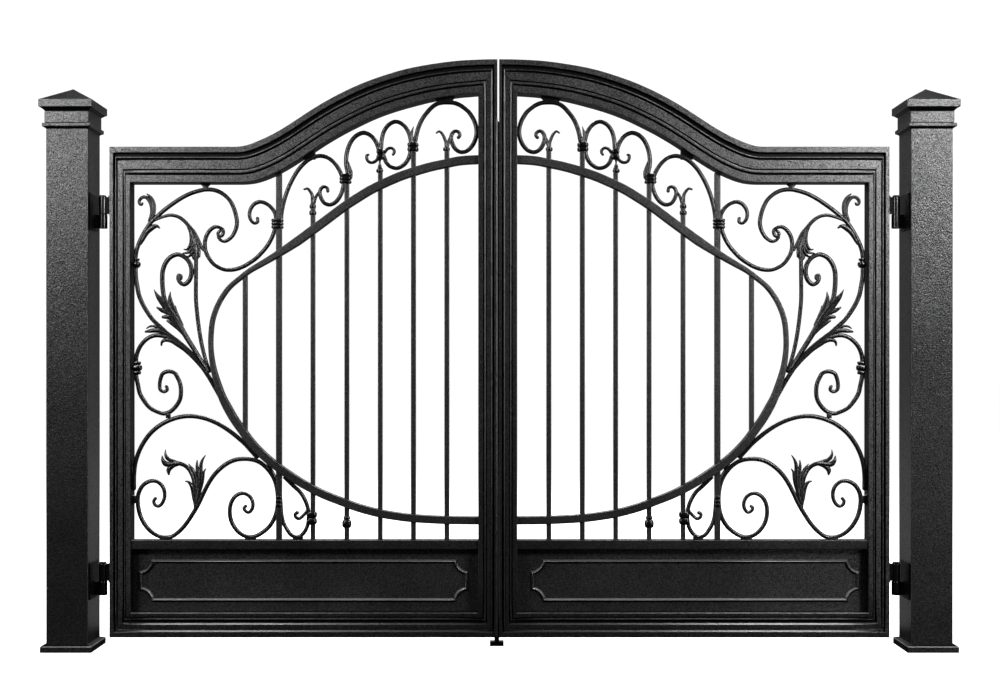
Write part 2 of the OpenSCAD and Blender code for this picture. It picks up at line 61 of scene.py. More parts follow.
def paint(name, base, rough, grain=1.0, gloss=0.5, speck=1.0, fade=None):
    """Black powder coat: an orange-peel skin of two sizes, speckled in small cells, with cloudy gloss. fade gives two
    heights and the share of the colour left at the lower one, so the colour darkens towards the bottom; on the meeting
    line's paint this is a painted highlight that fades downwards."""
    m = bpy.data.materials.new(name)
    m.use_nodes = True
    nt = m.node_tree
    n, li = nt.nodes, nt.links
    bsdf = n["Principled BSDF"]
    tc = n.new("ShaderNodeTexCoord")

    def noise(scale, detail, roughness=0.5):
        t = n.new("ShaderNodeTexNoise")
        t.inputs["Scale"].default_value = scale
        t.inputs["Detail"].default_value = detail
        t.inputs["Roughness"].default_value = roughness
        li.new(tc.outputs["Object"], t.inputs["Vector"])
        return t

    def ramp(src, a, b, lo, hi):
        r = n.new("ShaderNodeMapRange")
        r.inputs["From Min"].default_value = a
        r.inputs["From Max"].default_value = b
        r.inputs["To Min"].default_value = lo
        r.inputs["To Max"].default_value = hi
        li.new(src, r.inputs["Value"])
        return r.outputs["Result"]

    peel = noise(215.0, 1.0, 0.5)
    fine = noise(420.0, 1.0, 0.5)
    cell = n.new("ShaderNodeTexVoronoi")
    cell.inputs["Scale"].default_value = 350.0
    li.new(tc.outputs["Object"], cell.inputs["Vector"])
    cloud = noise(3.2, 4.0, 0.6)
    # colour: near black, cloudy, with lighter flecks on the crests of the texture
    mix = n.new("ShaderNodeMix")
    mix.data_type = "RGBA"
    mix.inputs["A"].default_value = (*[c * (1 - 0.22 * speck) for c in base], 1)
    mix.inputs["B"].default_value = (*[c * (1 + 0.22 * speck) for c in base], 1)
    li.new(ramp(cell.outputs["Color"], 0.1, 0.9, 0.0, 1.0), mix.inputs["Factor"])
    mix2 = n.new("ShaderNodeMix")
    mix2.data_type = "RGBA"
    mix2.blend_type = "MULTIPLY"
    mix2.inputs["Factor"].default_value = 0.5
    li.new(mix.outputs["Result"], mix2.inputs["A"])
    tint = n.new("ShaderNodeValToRGB")
    tint.color_ramp.elements[0].position = 0.32
    tint.color_ramp.elements[0].color = (0.72, 0.72, 0.72, 1)
    tint.color_ramp.elements[1].position = 0.70
    tint.color_ramp.elements[1].color = (1.0, 1.0, 1.0, 1)
    li.new(cloud.outputs["Fac"], tint.inputs["Fac"])
    li.new(tint.outputs["Color"], mix2.inputs["B"])
    colour = mix2
    # painted highlight fading downwards: the colour is darkened towards the bottom, as the light on the meeting line
    # falls off
    if fade:
        high = n.new("ShaderNodeSeparateXYZ")
        li.new(tc.outputs["Object"], high.inputs["Vector"])
        colour = n.new("ShaderNodeMix")
        colour.data_type = "RGBA"
        colour.blend_type = "MULTIPLY"
        colour.inputs["Factor"].default_value = 1.0
        li.new(mix2.outputs["Result"], colour.inputs["A"])
        li.new(ramp(high.outputs["Z"], fade[0], fade[1], fade[2], 1.0), colour.inputs["B"])
    li.new(colour.outputs["Result"], bsdf.inputs["Base Color"])
    # gloss: cloudy, and livelier on the crests
    li.new(ramp(cloud.outputs["Fac"], 0.3, 0.75, rough - 0.04, rough + 0.05), bsdf.inputs["Roughness"])
    li.new(ramp(cell.outputs["Color"], 0.1, 0.9, gloss * (1 - 0.62 * speck), gloss * (1 + 0.62 * speck)), bsdf.inputs["Specular IOR Level"])
    # relief
    add = n.new("ShaderNodeMath")
    add.operation = "MULTIPLY_ADD"
    add.inputs[1].default_value = 0.28
    li.new(fine.outputs["Fac"], add.inputs[0])
    li.new(peel.outputs["Fac"], add.inputs[2])
    bump = n.new("ShaderNodeBump")
    bump.inputs["Strength"].default_value = 0.55 * grain
    bump.inputs["Distance"].default_value = 0.0018
    li.new(add.outputs["Value"], bump.inputs["Height"])
    li.new(bump.outputs["Normal"], bsdf.inputs["Normal"])
    return m


POST = paint("post_paint", (0.0095, 0.0095, 0.0098), 0.31, grain=0.8, gloss=0.5, speck=1.45)
FRAME = paint("frame_paint", (0.0095, 0.0095, 0.0098), 0.36, grain=0.8, gloss=0.95, speck=1.5)
# painted shade: a dark, dull paint put in the moulding's grooves, under bars, on the panel bead's lower flanks, under
# the posts' collar, ring and cap, on the bases' slope and on the hinge plates and webs
SHADE_COAT = paint("shade_paint", (0.0022, 0.0022, 0.0023), 0.50, grain=0.5, gloss=0.10)
# painted shade: a darker, duller copy of the frame paint, put on the post bases, the meeting stiles and strip and the
# bottom and mid rails
SHADED_FRAME = paint("shaded_frame_paint", (0.0065, 0.0065, 0.0067), 0.36, grain=0.8, gloss=0.55, speck=1.3)
# painted highlights: a paler, glossier paint on the bottom rail's arrises and the posts' corners
EDGE_HIGHLIGHT = paint("edge_highlight_paint", (0.019, 0.019, 0.0194), 0.28, grain=0.1, gloss=0.9, speck=0.6)
# painted highlights: a light paint on the panel bead's upper flanks and the post bases' top edge
BRIGHT_HIGHLIGHT = paint("bright_highlight_paint", (0.110, 0.110, 0.112), 0.28, grain=0.1, gloss=0.9, speck=0.5)
# painted highlight: a light paint on the meeting stiles' beads and the strip's chamfer, darkened towards the bottom
MEETING_HIGHLIGHT = paint("meeting_highlight_paint", (0.135, 0.135, 0.137), 0.28, grain=0.1, gloss=0.9, speck=0.5, fade=(0.35, 1.75, 0.12))
IRON = paint("ironwork_paint", (0.0105, 0.0105, 0.0108), 0.34, grain=0.6, gloss=0.95, speck=0.9)
# painted shade: a darker, less glossy copy of the ironwork paint for the scrolls and the leafwork
SHADED_IRON = paint("shaded_iron_paint", (0.0062, 0.0062, 0.0064), 0.27, grain=0.6, gloss=0.6, speck=0.9)
HARD = paint("hardware_paint", (0.0030, 0.0030, 0.0032), 0.21, grain=0.12, gloss=0.65, speck=0.2)
SLOT = {"post_paint": POST, "frame_paint": FRAME, "ironwork_paint": IRON, "hardware_paint": HARD}

# ------------------------------------------------------------------ mesh helpers


class Mesh:
    """Collects closed shells in millimetres, measured from the middle of the gateway, for one piece."""

    def __init__(self):
        self.v, self.f, self.deep, self.edge = [], [], set(), set()

    def add(self, verts, faces):
        o = len(self.v)
        self.v += [tuple(p) for p in verts]
        self.f += [tuple(i + o for i in f) for f in faces]

    def rings(self, loops, closed=False, deep=None, edge=None):
        """Skins a row of equal loops and caps both ends; deep marks the strips of the loop that get painted shade, edge
        the ones that get painted highlights.
        """
        n = len(loops[0])
        verts = [p for loop in loops for p in loop]
        faces = []
        m = len(loops)
        for k in range(m if closed else m - 1):
            a, b = k * n, ((k + 1) % m) * n
            for j in range(n):
                j2 = (j + 1) % n
                if deep and deep[j]:
                    self.deep.add(len(self.f) + len(faces))
                if edge and edge[j]:
                    self.edge.add(len(self.f) + len(faces))
                faces.append((a + j, a + j2, b + j2, b + j))
        if not closed:
            faces.append(tuple(range(n))[::-1])
            faces.append(tuple(range((m - 1) * n, m * n)))
        self.add(verts, faces)


def slide(x):
    """The right leaf's ironwork sits a little nearer the meeting line than the left leaf's."""
    return x + 3.706 * float(np.interp(499.45 + x / 3.706, (132, 150, 175, 245, 279, 313, 380, 413, 447), (0.3, 1.0, 1.7, 2.1, 2.5, 2.95, 3.0, 3.1, 3.2)))


def emit(name, mesh, body, slot, node, mirror=False, sharp=32.0, flat=False, coat=None, highlight=EDGE_HIGHLIGHT, under=None):
    """Makes the object for a piece, mirrored for the right leaf, and ties it to its body and its node. Faces that look
    down more steeply than under get painted shade, the dark shade paint."""
    sx = -1.0 if mirror else 1.0
    me = bpy.data.meshes.new(name)
    if mirror and slot == "ironwork_paint":
        mesh.v = [(slide(x), y, z) for x, y, z in mesh.v]
    me.from_pydata([((sx * x + MID) * MM, y * MM, z * MM) for x, y, z in mesh.v], [], mesh.f)
    bm = bmesh.new()
    bm.from_mesh(me)
    bmesh.ops.recalc_face_normals(bm, faces=bm.faces)
    lim = math.radians(sharp)
    for f in bm.faces:
        f.smooth = True
    for e in bm.edges:
        if len(e.link_faces) == 2 and e.calc_face_angle(0.0) > lim:
            e.smooth = False
    if under is not None:
        mesh.deep.update(k for k, f in enumerate(bm.faces) if f.normal.z < under)
    bm.to_mesh(me)
    bm.free()
    o = bpy.data.objects.new(name, me)
    scene.collection.objects.link(o)
    me.materials.append(coat or SLOT[slot])
    # painted shade and painted highlights go on as extra materials
    for marked, mat in ((mesh.deep, SHADE_COAT), (mesh.edge, highlight)):
        if marked:
            me.materials.append(mat)
            for k in marked:
                me.polygons[k].material_index = len(me.materials) - 1
    if flat:
        w = o.modifiers.new("flat", "WEIGHTED_NORMAL")
        w.keep_sharp = True
    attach(o, body)
    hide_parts(node)
    return o


def rrect(hx, hy, r, k=3):
    """A rounded rectangle round the origin, counter-clockwise."""
    r = max(min(r, hx * 0.98, hy * 0.98), 0.02)
    out = []
    for cx, cy, a0 in ((hx - r, hy - r, 0), (-hx + r, hy - r, 90), (-hx + r, -hy + r, 180), (hx - r, -hy + r, 270)):
        for i in range(k + 1):
            a = math.radians(a0 + 90.0 * i / k)
            out.append((cx + r * math.cos(a), cy + r * math.sin(a)))
    return out


def loft(mesh, cx, cy, rows, k=4):
    """Upright stack of rounded rectangles: rows of (z, half width, half depth, corner radius)."""
    mesh.rings([[(cx + x, cy + y, z) for x, y in rrect(hx, hy, r, k)] for z, hx, hy, r in rows])


def block(mesh, x0, x1, y0, y1, z0, z1, r=1.5):
    """A box with rounded edges."""
    cx, cy, hx, hy = (x0 + x1) / 2, (y0 + y1) / 2, (x1 - x0) / 2, (y1 - y0) / 2
    rows = []
    for a in (0, 30, 60, 90):
        s = r * (1 - math.sin(math.radians(a)))
        rows.append((z0 + r * (1 - math.cos(math.radians(a))), hx - s, hy - s, r))
    rows += [(z0 + z1 - z, hx_, hy_, r_) for z, hx_, hy_, r_ in rows[::-1]]
    loft(mesh, cx, cy, rows)


def barrel(mesh, cx, cy, r, z0, z1, c=1.5, k=10):
    """A round bar with eased ends."""
    rows = []
    for a in (0, 30, 60, 90):
        s = c * (1 - math.sin(math.radians(a)))
        rows.append((z0 + c * (1 - math.cos(math.radians(a))), r - s, r - s, r))
    rows += [(z0 + z1 - z, a, b, q) for z, a, b, q in rows[::-1]]
    loft(mesh, cx, cy, rows, k)


def spline(points, step):
    """Smooth curve through given points, sampled about every step."""
    p = [np.array(q[:2], float) for q in points]
    p = [2 * p[0] - p[1]] + p + [2 * p[-1] - p[-2]]
    out = []
    for i in range(1, len(p) - 2):
        p0, p1, p2, p3 = p[i - 1 : i + 3]
        t1 = max(np.linalg.norm(p1 - p0), 1e-6) ** 0.5
        t2 = t1 + max(np.linalg.norm(p2 - p1), 1e-6) ** 0.5
        t3 = t2 + max(np.linalg.norm(p3 - p2), 1e-6) ** 0.5
        n = max(1, int(math.ceil(np.linalg.norm(p2 - p1) / step)))
        for k in range(n):
            t = t1 + (t2 - t1) * k / n
            a1 = (t1 - t) / t1 * p0 + t / t1 * p1
            a2 = (t2 - t) / (t2 - t1) * p1 + (t - t1) / (t2 - t1) * p2
            a3 = (t3 - t) / (t3 - t2) * p2 + (t - t2) / (t3 - t2) * p3
            b1 = (t2 - t) / t2 * a1 + t / t2 * a2
            b2 = (t3 - t) / (t3 - t1) * a2 + (t - t1) / (t3 - t1) * a3
            out.append((t2 - t) / (t2 - t1) * b1 + (t - t1) / (t2 - t1) * b2)
    out.append(p[-2])
    return np.array(out)


SQX, SQZ = 3.715, 3.70  # setting-out squares, mm


def g(p):
    """Setting-out squares of the ironwork to millimetres on the left leaf."""
    return np.array((3.706 * (p[0] - 499.45), 1374.6 + 3.7146 * (277.0 - p[1])))


def rail_at(p):
    """Setting-out squares of the crown rail to millimetres."""
    return np.array((-1442.0 + SQX * (p[0] - 110.0), 40.0 + SQZ * (637.0 - p[1])))


def span(path):
    d = np.r_[0.0, np.cumsum(np.linalg.norm(np.diff(path, axis=0), axis=1))]
    return d / d[-1]


def tangents(path):
    t = np.gradient(path, axis=0)
    return t / np.linalg.norm(t, axis=1)[:, None]


def swept(mesh, points, hw, hd, r, step=1.1, y0=0.0, tips=(False, False), k=3):
    """A flat-sided bar along a curve. hw and hd are half width and half depth in mm, each a number or stations along the bar;
    r is the edge radius; a tip closes in a round nose."""
    path = np.array([g(q) for q in spline(points, step)])
    u = span(path)
    hw = np.interp(u, np.linspace(0, 1, len(hw)), hw) if np.ndim(hw) else np.full(len(u), float(hw))
    hd = np.interp(u, np.linspace(0, 1, len(hd)), hd) if np.ndim(hd) else np.full(len(u), float(hd))
    yy = np.interp(u, np.linspace(0, 1, len(y0)), y0) if np.ndim(y0) else np.full(len(u), float(y0))
    t = tangents(path)
    loops = []

    def ring(p, tt, a, b, y):
        nx, nz = -tt[1], tt[0]
        rr = min(r, 0.95 * a, 0.95 * b)
        return [(p[0] + nx * s, y + d, p[1] + nz * s) for s, d in rrect(a, b, rr, k)]

    nose = [(0.95, 0.30), (0.75, 0.66), (0.4, 0.92)]
    if tips[0]:
        for off, sc in nose:
            loops.append(ring(path[0] - t[0] * hw[0] * off, t[0], hw[0] * sc, hd[0] * sc, yy[0]))
    for i in range(len(path)):
        loops.append(ring(path[i], t[i], hw[i], hd[i], yy[i]))
    if tips[1]:
        for off, sc in nose[::-1]:
            loops.append(ring(path[-1] + t[-1] * hw[-1] * off, t[-1], hw[-1] * sc, hd[-1] * sc, yy[-1]))
    mesh.rings(loops)


def blade(mesh, points, widths, depth=6.0, y0=0.0, step=0.8, fold=0.35):
    """One lobe of a cast leaf: a tapering blade with a raised rib along the middle of each face. widths are half widths in
    squares at even stations."""
    path = np.array([g(q) for q in spline(points, step)])
    u = span(path)
    w = np.interp(u, np.linspace(0, 1, len(widths)), np.array(widths) * 4.15)
    t = tangents(path)
    yy = np.interp(u, np.linspace(0, 1, len(y0)), y0) if np.ndim(y0) else np.full(len(u), float(y0))
    wm = max(widths) * 4.15
    loops = []
    for i in range(len(path)):
        nx, nz = -t[i][1], t[i][0]
        a = max(w[i], 0.25)
        d = depth * (0.35 + 0.65 * min(1.0, a / (0.6 * wm)))
        if a < 1.2:
            d = min(d, 1.2 + a)
        prof = [(1.0, 0.0), (0.95, 0.34), (0.82, 0.62), (0.60, 0.84), (0.30, 0.96), (0.0, 1.0 + 0.25 * fold), (-0.30, 0.96), (-0.60, 0.84), (-0.82, 0.62),
                (-0.95, 0.34)]
        loop = prof + [(-1.0, 0.0)] + [(s, -h) for s, h in prof[1:][::-1]]
        loops.append([(path[i][0] + nx * s * a, yy[i] + h * d, path[i][1] + nz * s * a) for s, h in loop])
    last = loops[-1]
    for off, sc in ((0.45, 0.88), (0.80, 0.58), (0.97, 0.22)):
        c = (path[-1][0] + t[-1][0] * w[-1] * off, yy[-1], path[-1][1] + t[-1][1] * w[-1] * off)
        loops.append([(c[0] + (q[0] - path[-1][0]) * sc, c[1] + (q[1] - yy[-1]) * sc, c[2] + (q[2] - path[-1][1]) * sc) for q in last])
    mesh.rings(loops)


# ------------------------------------------------------------------ posts


def post(side, cx):
    c = cx - MID
    q = 3.0  # corner radius of the box section
    h = 76.4  # half its width

    def piece(part, rows, kk=6):
        m = Mesh()
        loft(m, c, 0.0, rows, kk)
        # painted shade under the collar, the ring and the cap and on the base's slope; painted highlights on the base's
        # top edge and the shaft's corners
        for f, face in enumerate(m.f):
            z = [m.v[i][2] for i in face]
            if part == "base" and min(z) > 23.3 and max(z) < 28.1:
                m.deep.add(f)
            elif part == "collar" and (max(z) < 1917.1 or (min(z) > 1930.2 and max(z) < 1934.1)):
                m.deep.add(f)
            elif part == "cap" and min(z) > 1974.5 and max(z) < 1987.5:
                m.deep.add(f)
            elif part == "base" and min(z) > 20.1 and max(z) < 23.5:
                m.edge.add(f)
            elif part == "shaft" and len(face) == 4 and abs(m.v[face[0]][0] - m.v[face[1]][0]) > 0.01 and abs(m.v[face[0]][1] - m.v[face[1]][1]) > 0.01:
                m.edge.add(f)
        # the base gets the shaded copy of the frame paint as painted shade
        emit(f"{side}_post_{part}_fine", m, "posts", "post_paint", f"{side}_post_{part}", sharp=40, flat=True, coat=SHADED_FRAME if part == "base" else None, highlight=BRIGHT_HIGHLIGHT if part == "base" else EDGE_HIGHLIGHT)

    b, r, n, k = 94.0, 88.5, 81.0, 98.0  # half widths of base, ring, neck and cap
    piece("base", [(0, b - 1.0, b - 1.0, 3), (1.0, b, b, 3), (20.2, b, b, 3), (22.0, b - 0.5, b - 0.5, 3), (23.4, b - 2.4, b - 2.4, 3),
                   (27.0, 79.5, 79.5, q), (27.6, 78.2, 78.2, q), (28.0, 76.8, 76.8, q)])
    piece("shaft", [(28, h, h, q), (30, h, h, q), (1908, h, h, q), (1910, h, h, q)])
    piece("collar", [(1910, h + 0.2, h + 0.2, q), (1912, h + 1.6, h + 1.6, q), (1915, 82.5, 82.5, q), (1917, 86.6, 86.6, q), (1918.2, r - 0.3, r - 0.3, q),
                     (1919.2, r, r, q), (1928.6, r, r, q), (1929.7, r - 0.4, r - 0.4, q), (1930.3, r - 1.5, r - 1.5, q),
                     (1930.8, n - 1.6, n - 1.6, q), (1933.4, n - 1.6, n - 1.6, q), (1934.0, n, n, q), (1972, n, n, q), (1973.4, n - 0.5, n - 0.5, q), (1974, n - 1.6, n - 1.6, q)])
    piece("cap", [(1974, n - 1.0, n - 1.0, q), (1976, n, n, q), (1979, 83.6, 83.6, q), (1983, 88.6, 88.6, q), (1986, 92.4, 92.4, q),
                  (1987.4, 95.0, 95.0, q), (1988.0, k - 0.8, k - 0.8, q), (1988.8, k, k, q), (2013.2, k, k, q), (2014.4, k - 0.4, k - 0.4, q),
                  (2015.2, k - 1.6, k - 1.6, q), (2066.5, 7.0, 7.0, 2.0), (2069.4, 3.0, 3.0, 1.5), (2070.4, 0.6, 0.6, 0.5)])


post("left", 0.0)
post("right", 2 * MID)

# ------------------------------------------------------------------ leaf frames

# The moulding, from the outer edge to the inner one: depth in mm and edge radius in mm at each arris, with the share of the width
# where the arris lies on the crown rail, on the hinge stiles, on the bottom rail and on the meeting stiles. On the bottom rail the steps are drawn out into slopes.
ARRIS = [
    (28.0, 1.2, 0.000, 0.000, 0.000, 0.000), (28.0, 1.0, 0.157, 0.178, 0.226, 0.150), (12.0, 0.8, 0.180, 0.196, 0.284, 0.168),
    (12.0, 0.6, 0.272, 0.256, 0.290, 0.250), (25.0, 2.6, 0.281, 0.266, 0.296, 0.262), (25.0, 2.6, 0.313, 0.328, 0.320, 0.336),
    (11.0, 0.6, 0.320, 0.336, 0.330, 0.344), (11.0, 0.6, 0.367, 0.388, 0.345, 0.350), (26.0, 1.0, 0.375, 0.400, 0.352, 0.358),
    (26.0, 1.0, 0.619, 0.628, 0.506, 0.556), (12.0, 0.6, 0.627, 0.640, 0.568, 0.568), (12.0, 0.6, 0.646, 0.684, 0.610, 0.600),
    (27.0, 2.6, 0.653, 0.694, 0.640, 0.610), (27.0, 2.6, 0.732, 0.748, 0.722, 0.692), (12.0, 0.6, 0.742, 0.756, 0.782, 0.702),
    (12.0, 0.6, 0.786, 0.780, 0.815, 0.738), (33.0, 1.0, 0.794, 0.790, 0.822, 0.746), (33.0, 1.2, 0.985, 0.980, 0.952, 0.975),
    (31.5, 0.8, 1.000, 1.000, 1.000, 1.000),
]
FLAT = {2: 22.6, 3: 22.0, 4: 22.0, 5: 22.0, 6: 22.0, 7: 22.0, 8: 23.0, 9: 23.0, 10: 17.4, 11: 12.0, 12: 13.0, 13: 22.0, 14: 16.8, 15: 14.0,
        16: 22.0, 17: 22.0, 18: 17.8}  # depths on the bottom rail where they differ
ALL = (1, 2, 3, 5, 6, 7, 9, 10, 11, 13, 14, 15, 18)
# arrises whose grooves get painted shade
SHADED_GROOVES = {"crown": ALL, "stile": ALL, "meet": ALL, "foot": (7, 10, 11, 12, 14, 15, 18)}
HIGHLIGHT_ARRISES = {"crown": (), "stile": (), "meet": (4, 12), "foot": (1, 9)}  # arrises with painted highlights, in a paler paint
KIND = {"crown": 2, "stile": 3, "foot": 4, "meet": 5}


def arrises(kind):
    """Shares and depths of the moulding on one kind of member."""
    share = np.array([a[KIND[kind]] for a in ARRIS])
    depth = np.array([FLAT.get(k, a[0]) if kind == "foot" else a[0] for k, a in enumerate(ARRIS)])
    return share, depth


def moulding(width, share, depth):
    """Profile for a member of that width with its edges rounded: the front face, then the back face."""
    ext = [(0.0, 0.0)] + [(f * width, d) for f, d in zip(share, depth)] + [(width, 0.0)]
    half = []
    for i in range(1, len(ext) - 1):
        p = np.array(ext[i])
        a, b = np.array(ext[i - 1]) - p, np.array(ext[i + 1]) - p
        la, lb = np.linalg.norm(a), np.linalg.norm(b)
        q = min(ARRIS[i - 1][1], la * 0.45, lb * 0.45)
        s, e = p + a / la * q, p + b / lb * q
        for t in (0.0, 0.33, 0.67, 1.0):
            half.append((1 - t) ** 2 * s + 2 * t * (1 - t) * p + t * t * e)
    return [(x / width, -d) for x, d in half] + [(x / width, d) for x, d in half[::-1]]


def member(outer, inner, kind, ends=(None, None), reach=110.0):
    """Runs the moulding between an outer and an inner edge line. ends names the kinds of the members it meets: towards a mitre the
    arrises drift half way to the other member's, so that the lines meet."""
    m = Mesh()
    own = arrises(kind)
    mid = (np.array(outer) + np.array(inner)) / 2
    run = np.r_[0.0, np.cumsum(np.linalg.norm(np.diff(mid, axis=0), axis=1))]
    loops = []
    for k, (o, i) in enumerate(zip(outer, inner)):
        share, depth = own
        for other, gap in ((ends[0], run[k]), (ends[1], run[-1] - run[k])):
            if other and gap < reach:
                u = 0.5 * (1 - gap / reach) ** 2
                oth = arrises(other)
                share, depth = share + (oth[0] - own[0]) * u, depth + (oth[1] - own[1]) * u
        width = float(np.linalg.norm(np.array(o) - np.array(i)))
        width = min(width, 130.0)
        loops.append([(o[0] + (i[0] - o[0]) * f, y, o[1] + (i[1] - o[1]) * f) for f, y in moulding(width, share, depth)])
    n = len(loops[0])
    # painted shade in the grooves, painted highlights on the listed arrises
    deep, highlight = [False] * n, [False] * n
    for k in range(len(ARRIS)):
        for j in range(4):
            s = 4 * k + j  # strip after this point: the rounding, then the run to the next arris
            if (j == 3 and k in SHADED_GROOVES[kind]) or (j < 3 and k in SHADED_GROOVES[kind] and k - 1 in SHADED_GROOVES[kind]):
                deep[s] = True
                deep[(n - 2 - s) % n] = True
            elif (k in HIGHLIGHT_ARRISES[kind]) or (j < 3 and k - 1 in HIGHLIGHT_ARRISES[kind] and kind != "foot"):
                highlight[s] = True
                highlight[(n - 2 - s) % n] = True
    m.rings(loops, deep=deep, edge=highlight)
    return m


RAIL_TOP = [(111.077, 147), (226, 147), (240, 146.8), (250, 144.6), (262, 139.8), (274, 134), (286, 127), (298, 119.2), (312, 110),
            (328, 100.4), (346, 91), (364, 83), (384, 75.8), (406, 69.4), (430, 64.8), (456, 61.4), (480, 60.1), (497, 59.8)]
RAIL_LOW = [(131.9, 183), (230, 183), (245, 182.8), (257, 181), (270, 176.4), (284, 169.4), (298, 160.8), (311, 152.2), (325, 142.9),
            (341, 133.4), (357, 125.1), (373, 117.5), (391, 110.7), (411, 104.8), (433, 99.4), (456, 95.9), (470, 94.6), (479, 94)]



def rail_lines(edge, face):
    """Top and lower edge of the crown rail, ending at the meeting stile's edge and face."""
    n = len(RAIL_TOP)
    top = [tuple(rail_at(p)) for p in RAIL_TOP]
    low = [tuple(rail_at(p)) for p in RAIL_LOW]
    top[-1] = (edge, top[-1][1])
    low[-1] = (face, low[-1][1])
    o = [np.array(top[0])]
    i = [np.array(low[0])]
    # straight run, then both edges in step through the curve
    for t in (0.04, 0.08, 0.13, 0.2, 0.3, 0.5, 0.75, 1.0):
        o.append(np.array(top[0]) + (np.array(top[1]) - np.array(top[0])) * t)
        i.append(np.array(low[0]) + (np.array(low[1]) - np.array(low[0])) * t)

    def seg(p, k, t):
        p0, p1, p2, p3 = (np.array(p[max(k - 1, 0)]), np.array(p[k]), np.array(p[k + 1]), np.array(p[min(k + 2, n - 1)]))
        if k == 1:
            p0 = p1 - np.array((p2[0] - p1[0], 0.0))
        return 0.5 * (2 * p1 + (p2 - p0) * t + (2 * p0 - 5 * p1 + 4 * p2 - p3) * t * t + (3 * p1 - p0 - 3 * p2 + p3) * t ** 3)

    for k in range(1, n - 1):
        for t in (1 / 6, 2 / 6, 3 / 6, 4 / 6, 5 / 6, 1.0):
            o.append(seg(top, k, t))
            i.append(seg(low, k, t))
    return o, i


def straight(o0, i0, o1, i1):
    """Edge lines of a straight member, closer set near its mitres."""
    st = (0, 0.015, 0.03, 0.05, 0.08, 0.14, 0.3, 0.5, 0.7, 0.86, 0.92, 0.95, 0.97, 0.985, 1)
    o = [np.array(o0) + (np.array(o1) - np.array(o0)) * t for t in st]
    i = [np.array(i0) + (np.array(i1) - np.array(i0)) * t for t in st]
    return o, i


TOP0, LOW0 = tuple(rail_at(RAIL_TOP[0])), tuple(rail_at(RAIL_LOW[0]))
TOP1, LOW1 = rail_at(RAIL_TOP[-1])[1], rail_at(RAIL_LOW[-1])[1]
FOOT, SILL = 43.4, 135.0  # underside and top of the bottom rail
BEAD_IN = np.linspace(0, 1, 9)


def scoop_loop(inset):
    """The panel bead's outline at an inset, with scooped corners: x, z."""
    x0, x1, z0, z1 = -1338.0, -116.0, 167.5, 325.3
    rad = 43.0 + inset
    c = math.degrees(math.asin(inset / rad))
    out = []
    for cx, cz, a0 in ((x1, z0, 90), (x1, z1, 180), (x0, z1, 270), (x0, z0, 0)):
        # each scoop turns from the side before it to the side after it
        start, stop = {90: (180 - c, 90 + c), 180: (270 - c, 180 + c), 270: (360 - c, 270 + c), 0: (90 - c, 0 + c)}[a0]
        for k in range(11):
            a = math.radians(start + (stop - start) * k / 10)
            out.append((cx + rad * math.cos(a), cz + rad * math.sin(a)))
    return out


def panel_bead():
    m = Mesh()
    for base, sign, high in ((16.0, -1.0, 9.5), (22.0, 1.0, 4.0)):
        loops = []
        for t in BEAD_IN:
            a = math.pi * t
            loops.append([(x, base + sign * high * math.sin(a) ** 0.8, z) for x, z in scoop_loop(14.0 * t)])
        n = len(loops[0])
        verts = [p for lp in loops for p in lp]
        faces = []
        mm = len(loops)
        for k in range(mm):
            a, b = k * n, ((k + 1) % mm) * n
            for j in range(n):
                faces.append((a + j, a + (j + 1) % n, b + (j + 1) % n, b + j))
        start = len(m.f)
        m.add(verts, faces)
        # painted highlight on the upper flanks, painted shade on the lower ones
        for f in range(start, len(m.f)):
            q = [np.array(m.v[i]) for i in m.f[f]]
            up = np.cross(q[2] - q[0], q[3] - q[1])
            mid = sum(q) / 4
            up = up / (np.linalg.norm(up) + 1e-9) * (1 if up[1] * sign > 0 else -1)
            if abs(mid[1] - base) > 0.3 and up[2] > 0.3:
                m.edge.add(f)
            elif up[2] < -0.3:
                m.deep.add(f)
    return m


# ------------------------------------------------------------------ ironwork

HOOP = [(485, 159.65), (460, 161.25), (446, 163.95), (430, 167.4), (413, 172.4), (400, 176.8), (382, 184.65), (370, 190.65),
        (360, 196.7), (346, 205.7), (335, 213.8), (325, 221.3), (313, 230.1), (300, 239.7), (290, 246.5), (280, 252.9), (270, 259.1),
        (260, 264.9), (250, 270.8), (240, 278.4), (230.3, 286.6), (222.7, 296.5), (216.7, 308), (212.8, 320), (211.2, 333), (210.9, 346),
        (211.9, 358), (214, 370), (218, 384), (222.5, 397), (227.5, 407), (234.5, 419.1), (243, 431.1), (250, 440.6), (260, 451.55),
        (270, 460.55), (280, 468.25), (290, 475.05), (300, 481.55), (310, 487.15), (320, 492.25), (330, 496.55), (340, 500.35),
        (350, 504.15), (360, 507.55), (380, 512.75), (400, 516.05), (413, 517.55), (446, 519.35), (485, 519.85)]
PICKETS = [(245.3, 272, 438, 4.8), (279.1, 173, 539.5, 5.9), (313.0, 203, 539.5, 4.6), (346.9, 182, 539.5, 4.7), (380.3, 168, 539.5, 4.7),
           (413.5, 150, 539.5, 5.0), (446.9, 148, 539.5, 5.0)]
S1 = [(135.5, 258), (136.5, 251), (139, 243.5), (142.5, 236), (146.5, 229), (151, 222.5), (156.3, 217.5), (163.5, 211), (171, 205.3), (180.5, 198.9),
      (190, 194), (199.5, 191), (206, 189.8), (214.5, 190.4), (222.5, 193.8), (229.5, 200), (233.8, 208.3), (236.2, 216.5), (237, 223),
      (235.8, 229.5), (232.5, 236), (229, 239.5), (224.8, 241.5), (220.7, 240.3), (218.3, 237.5)]
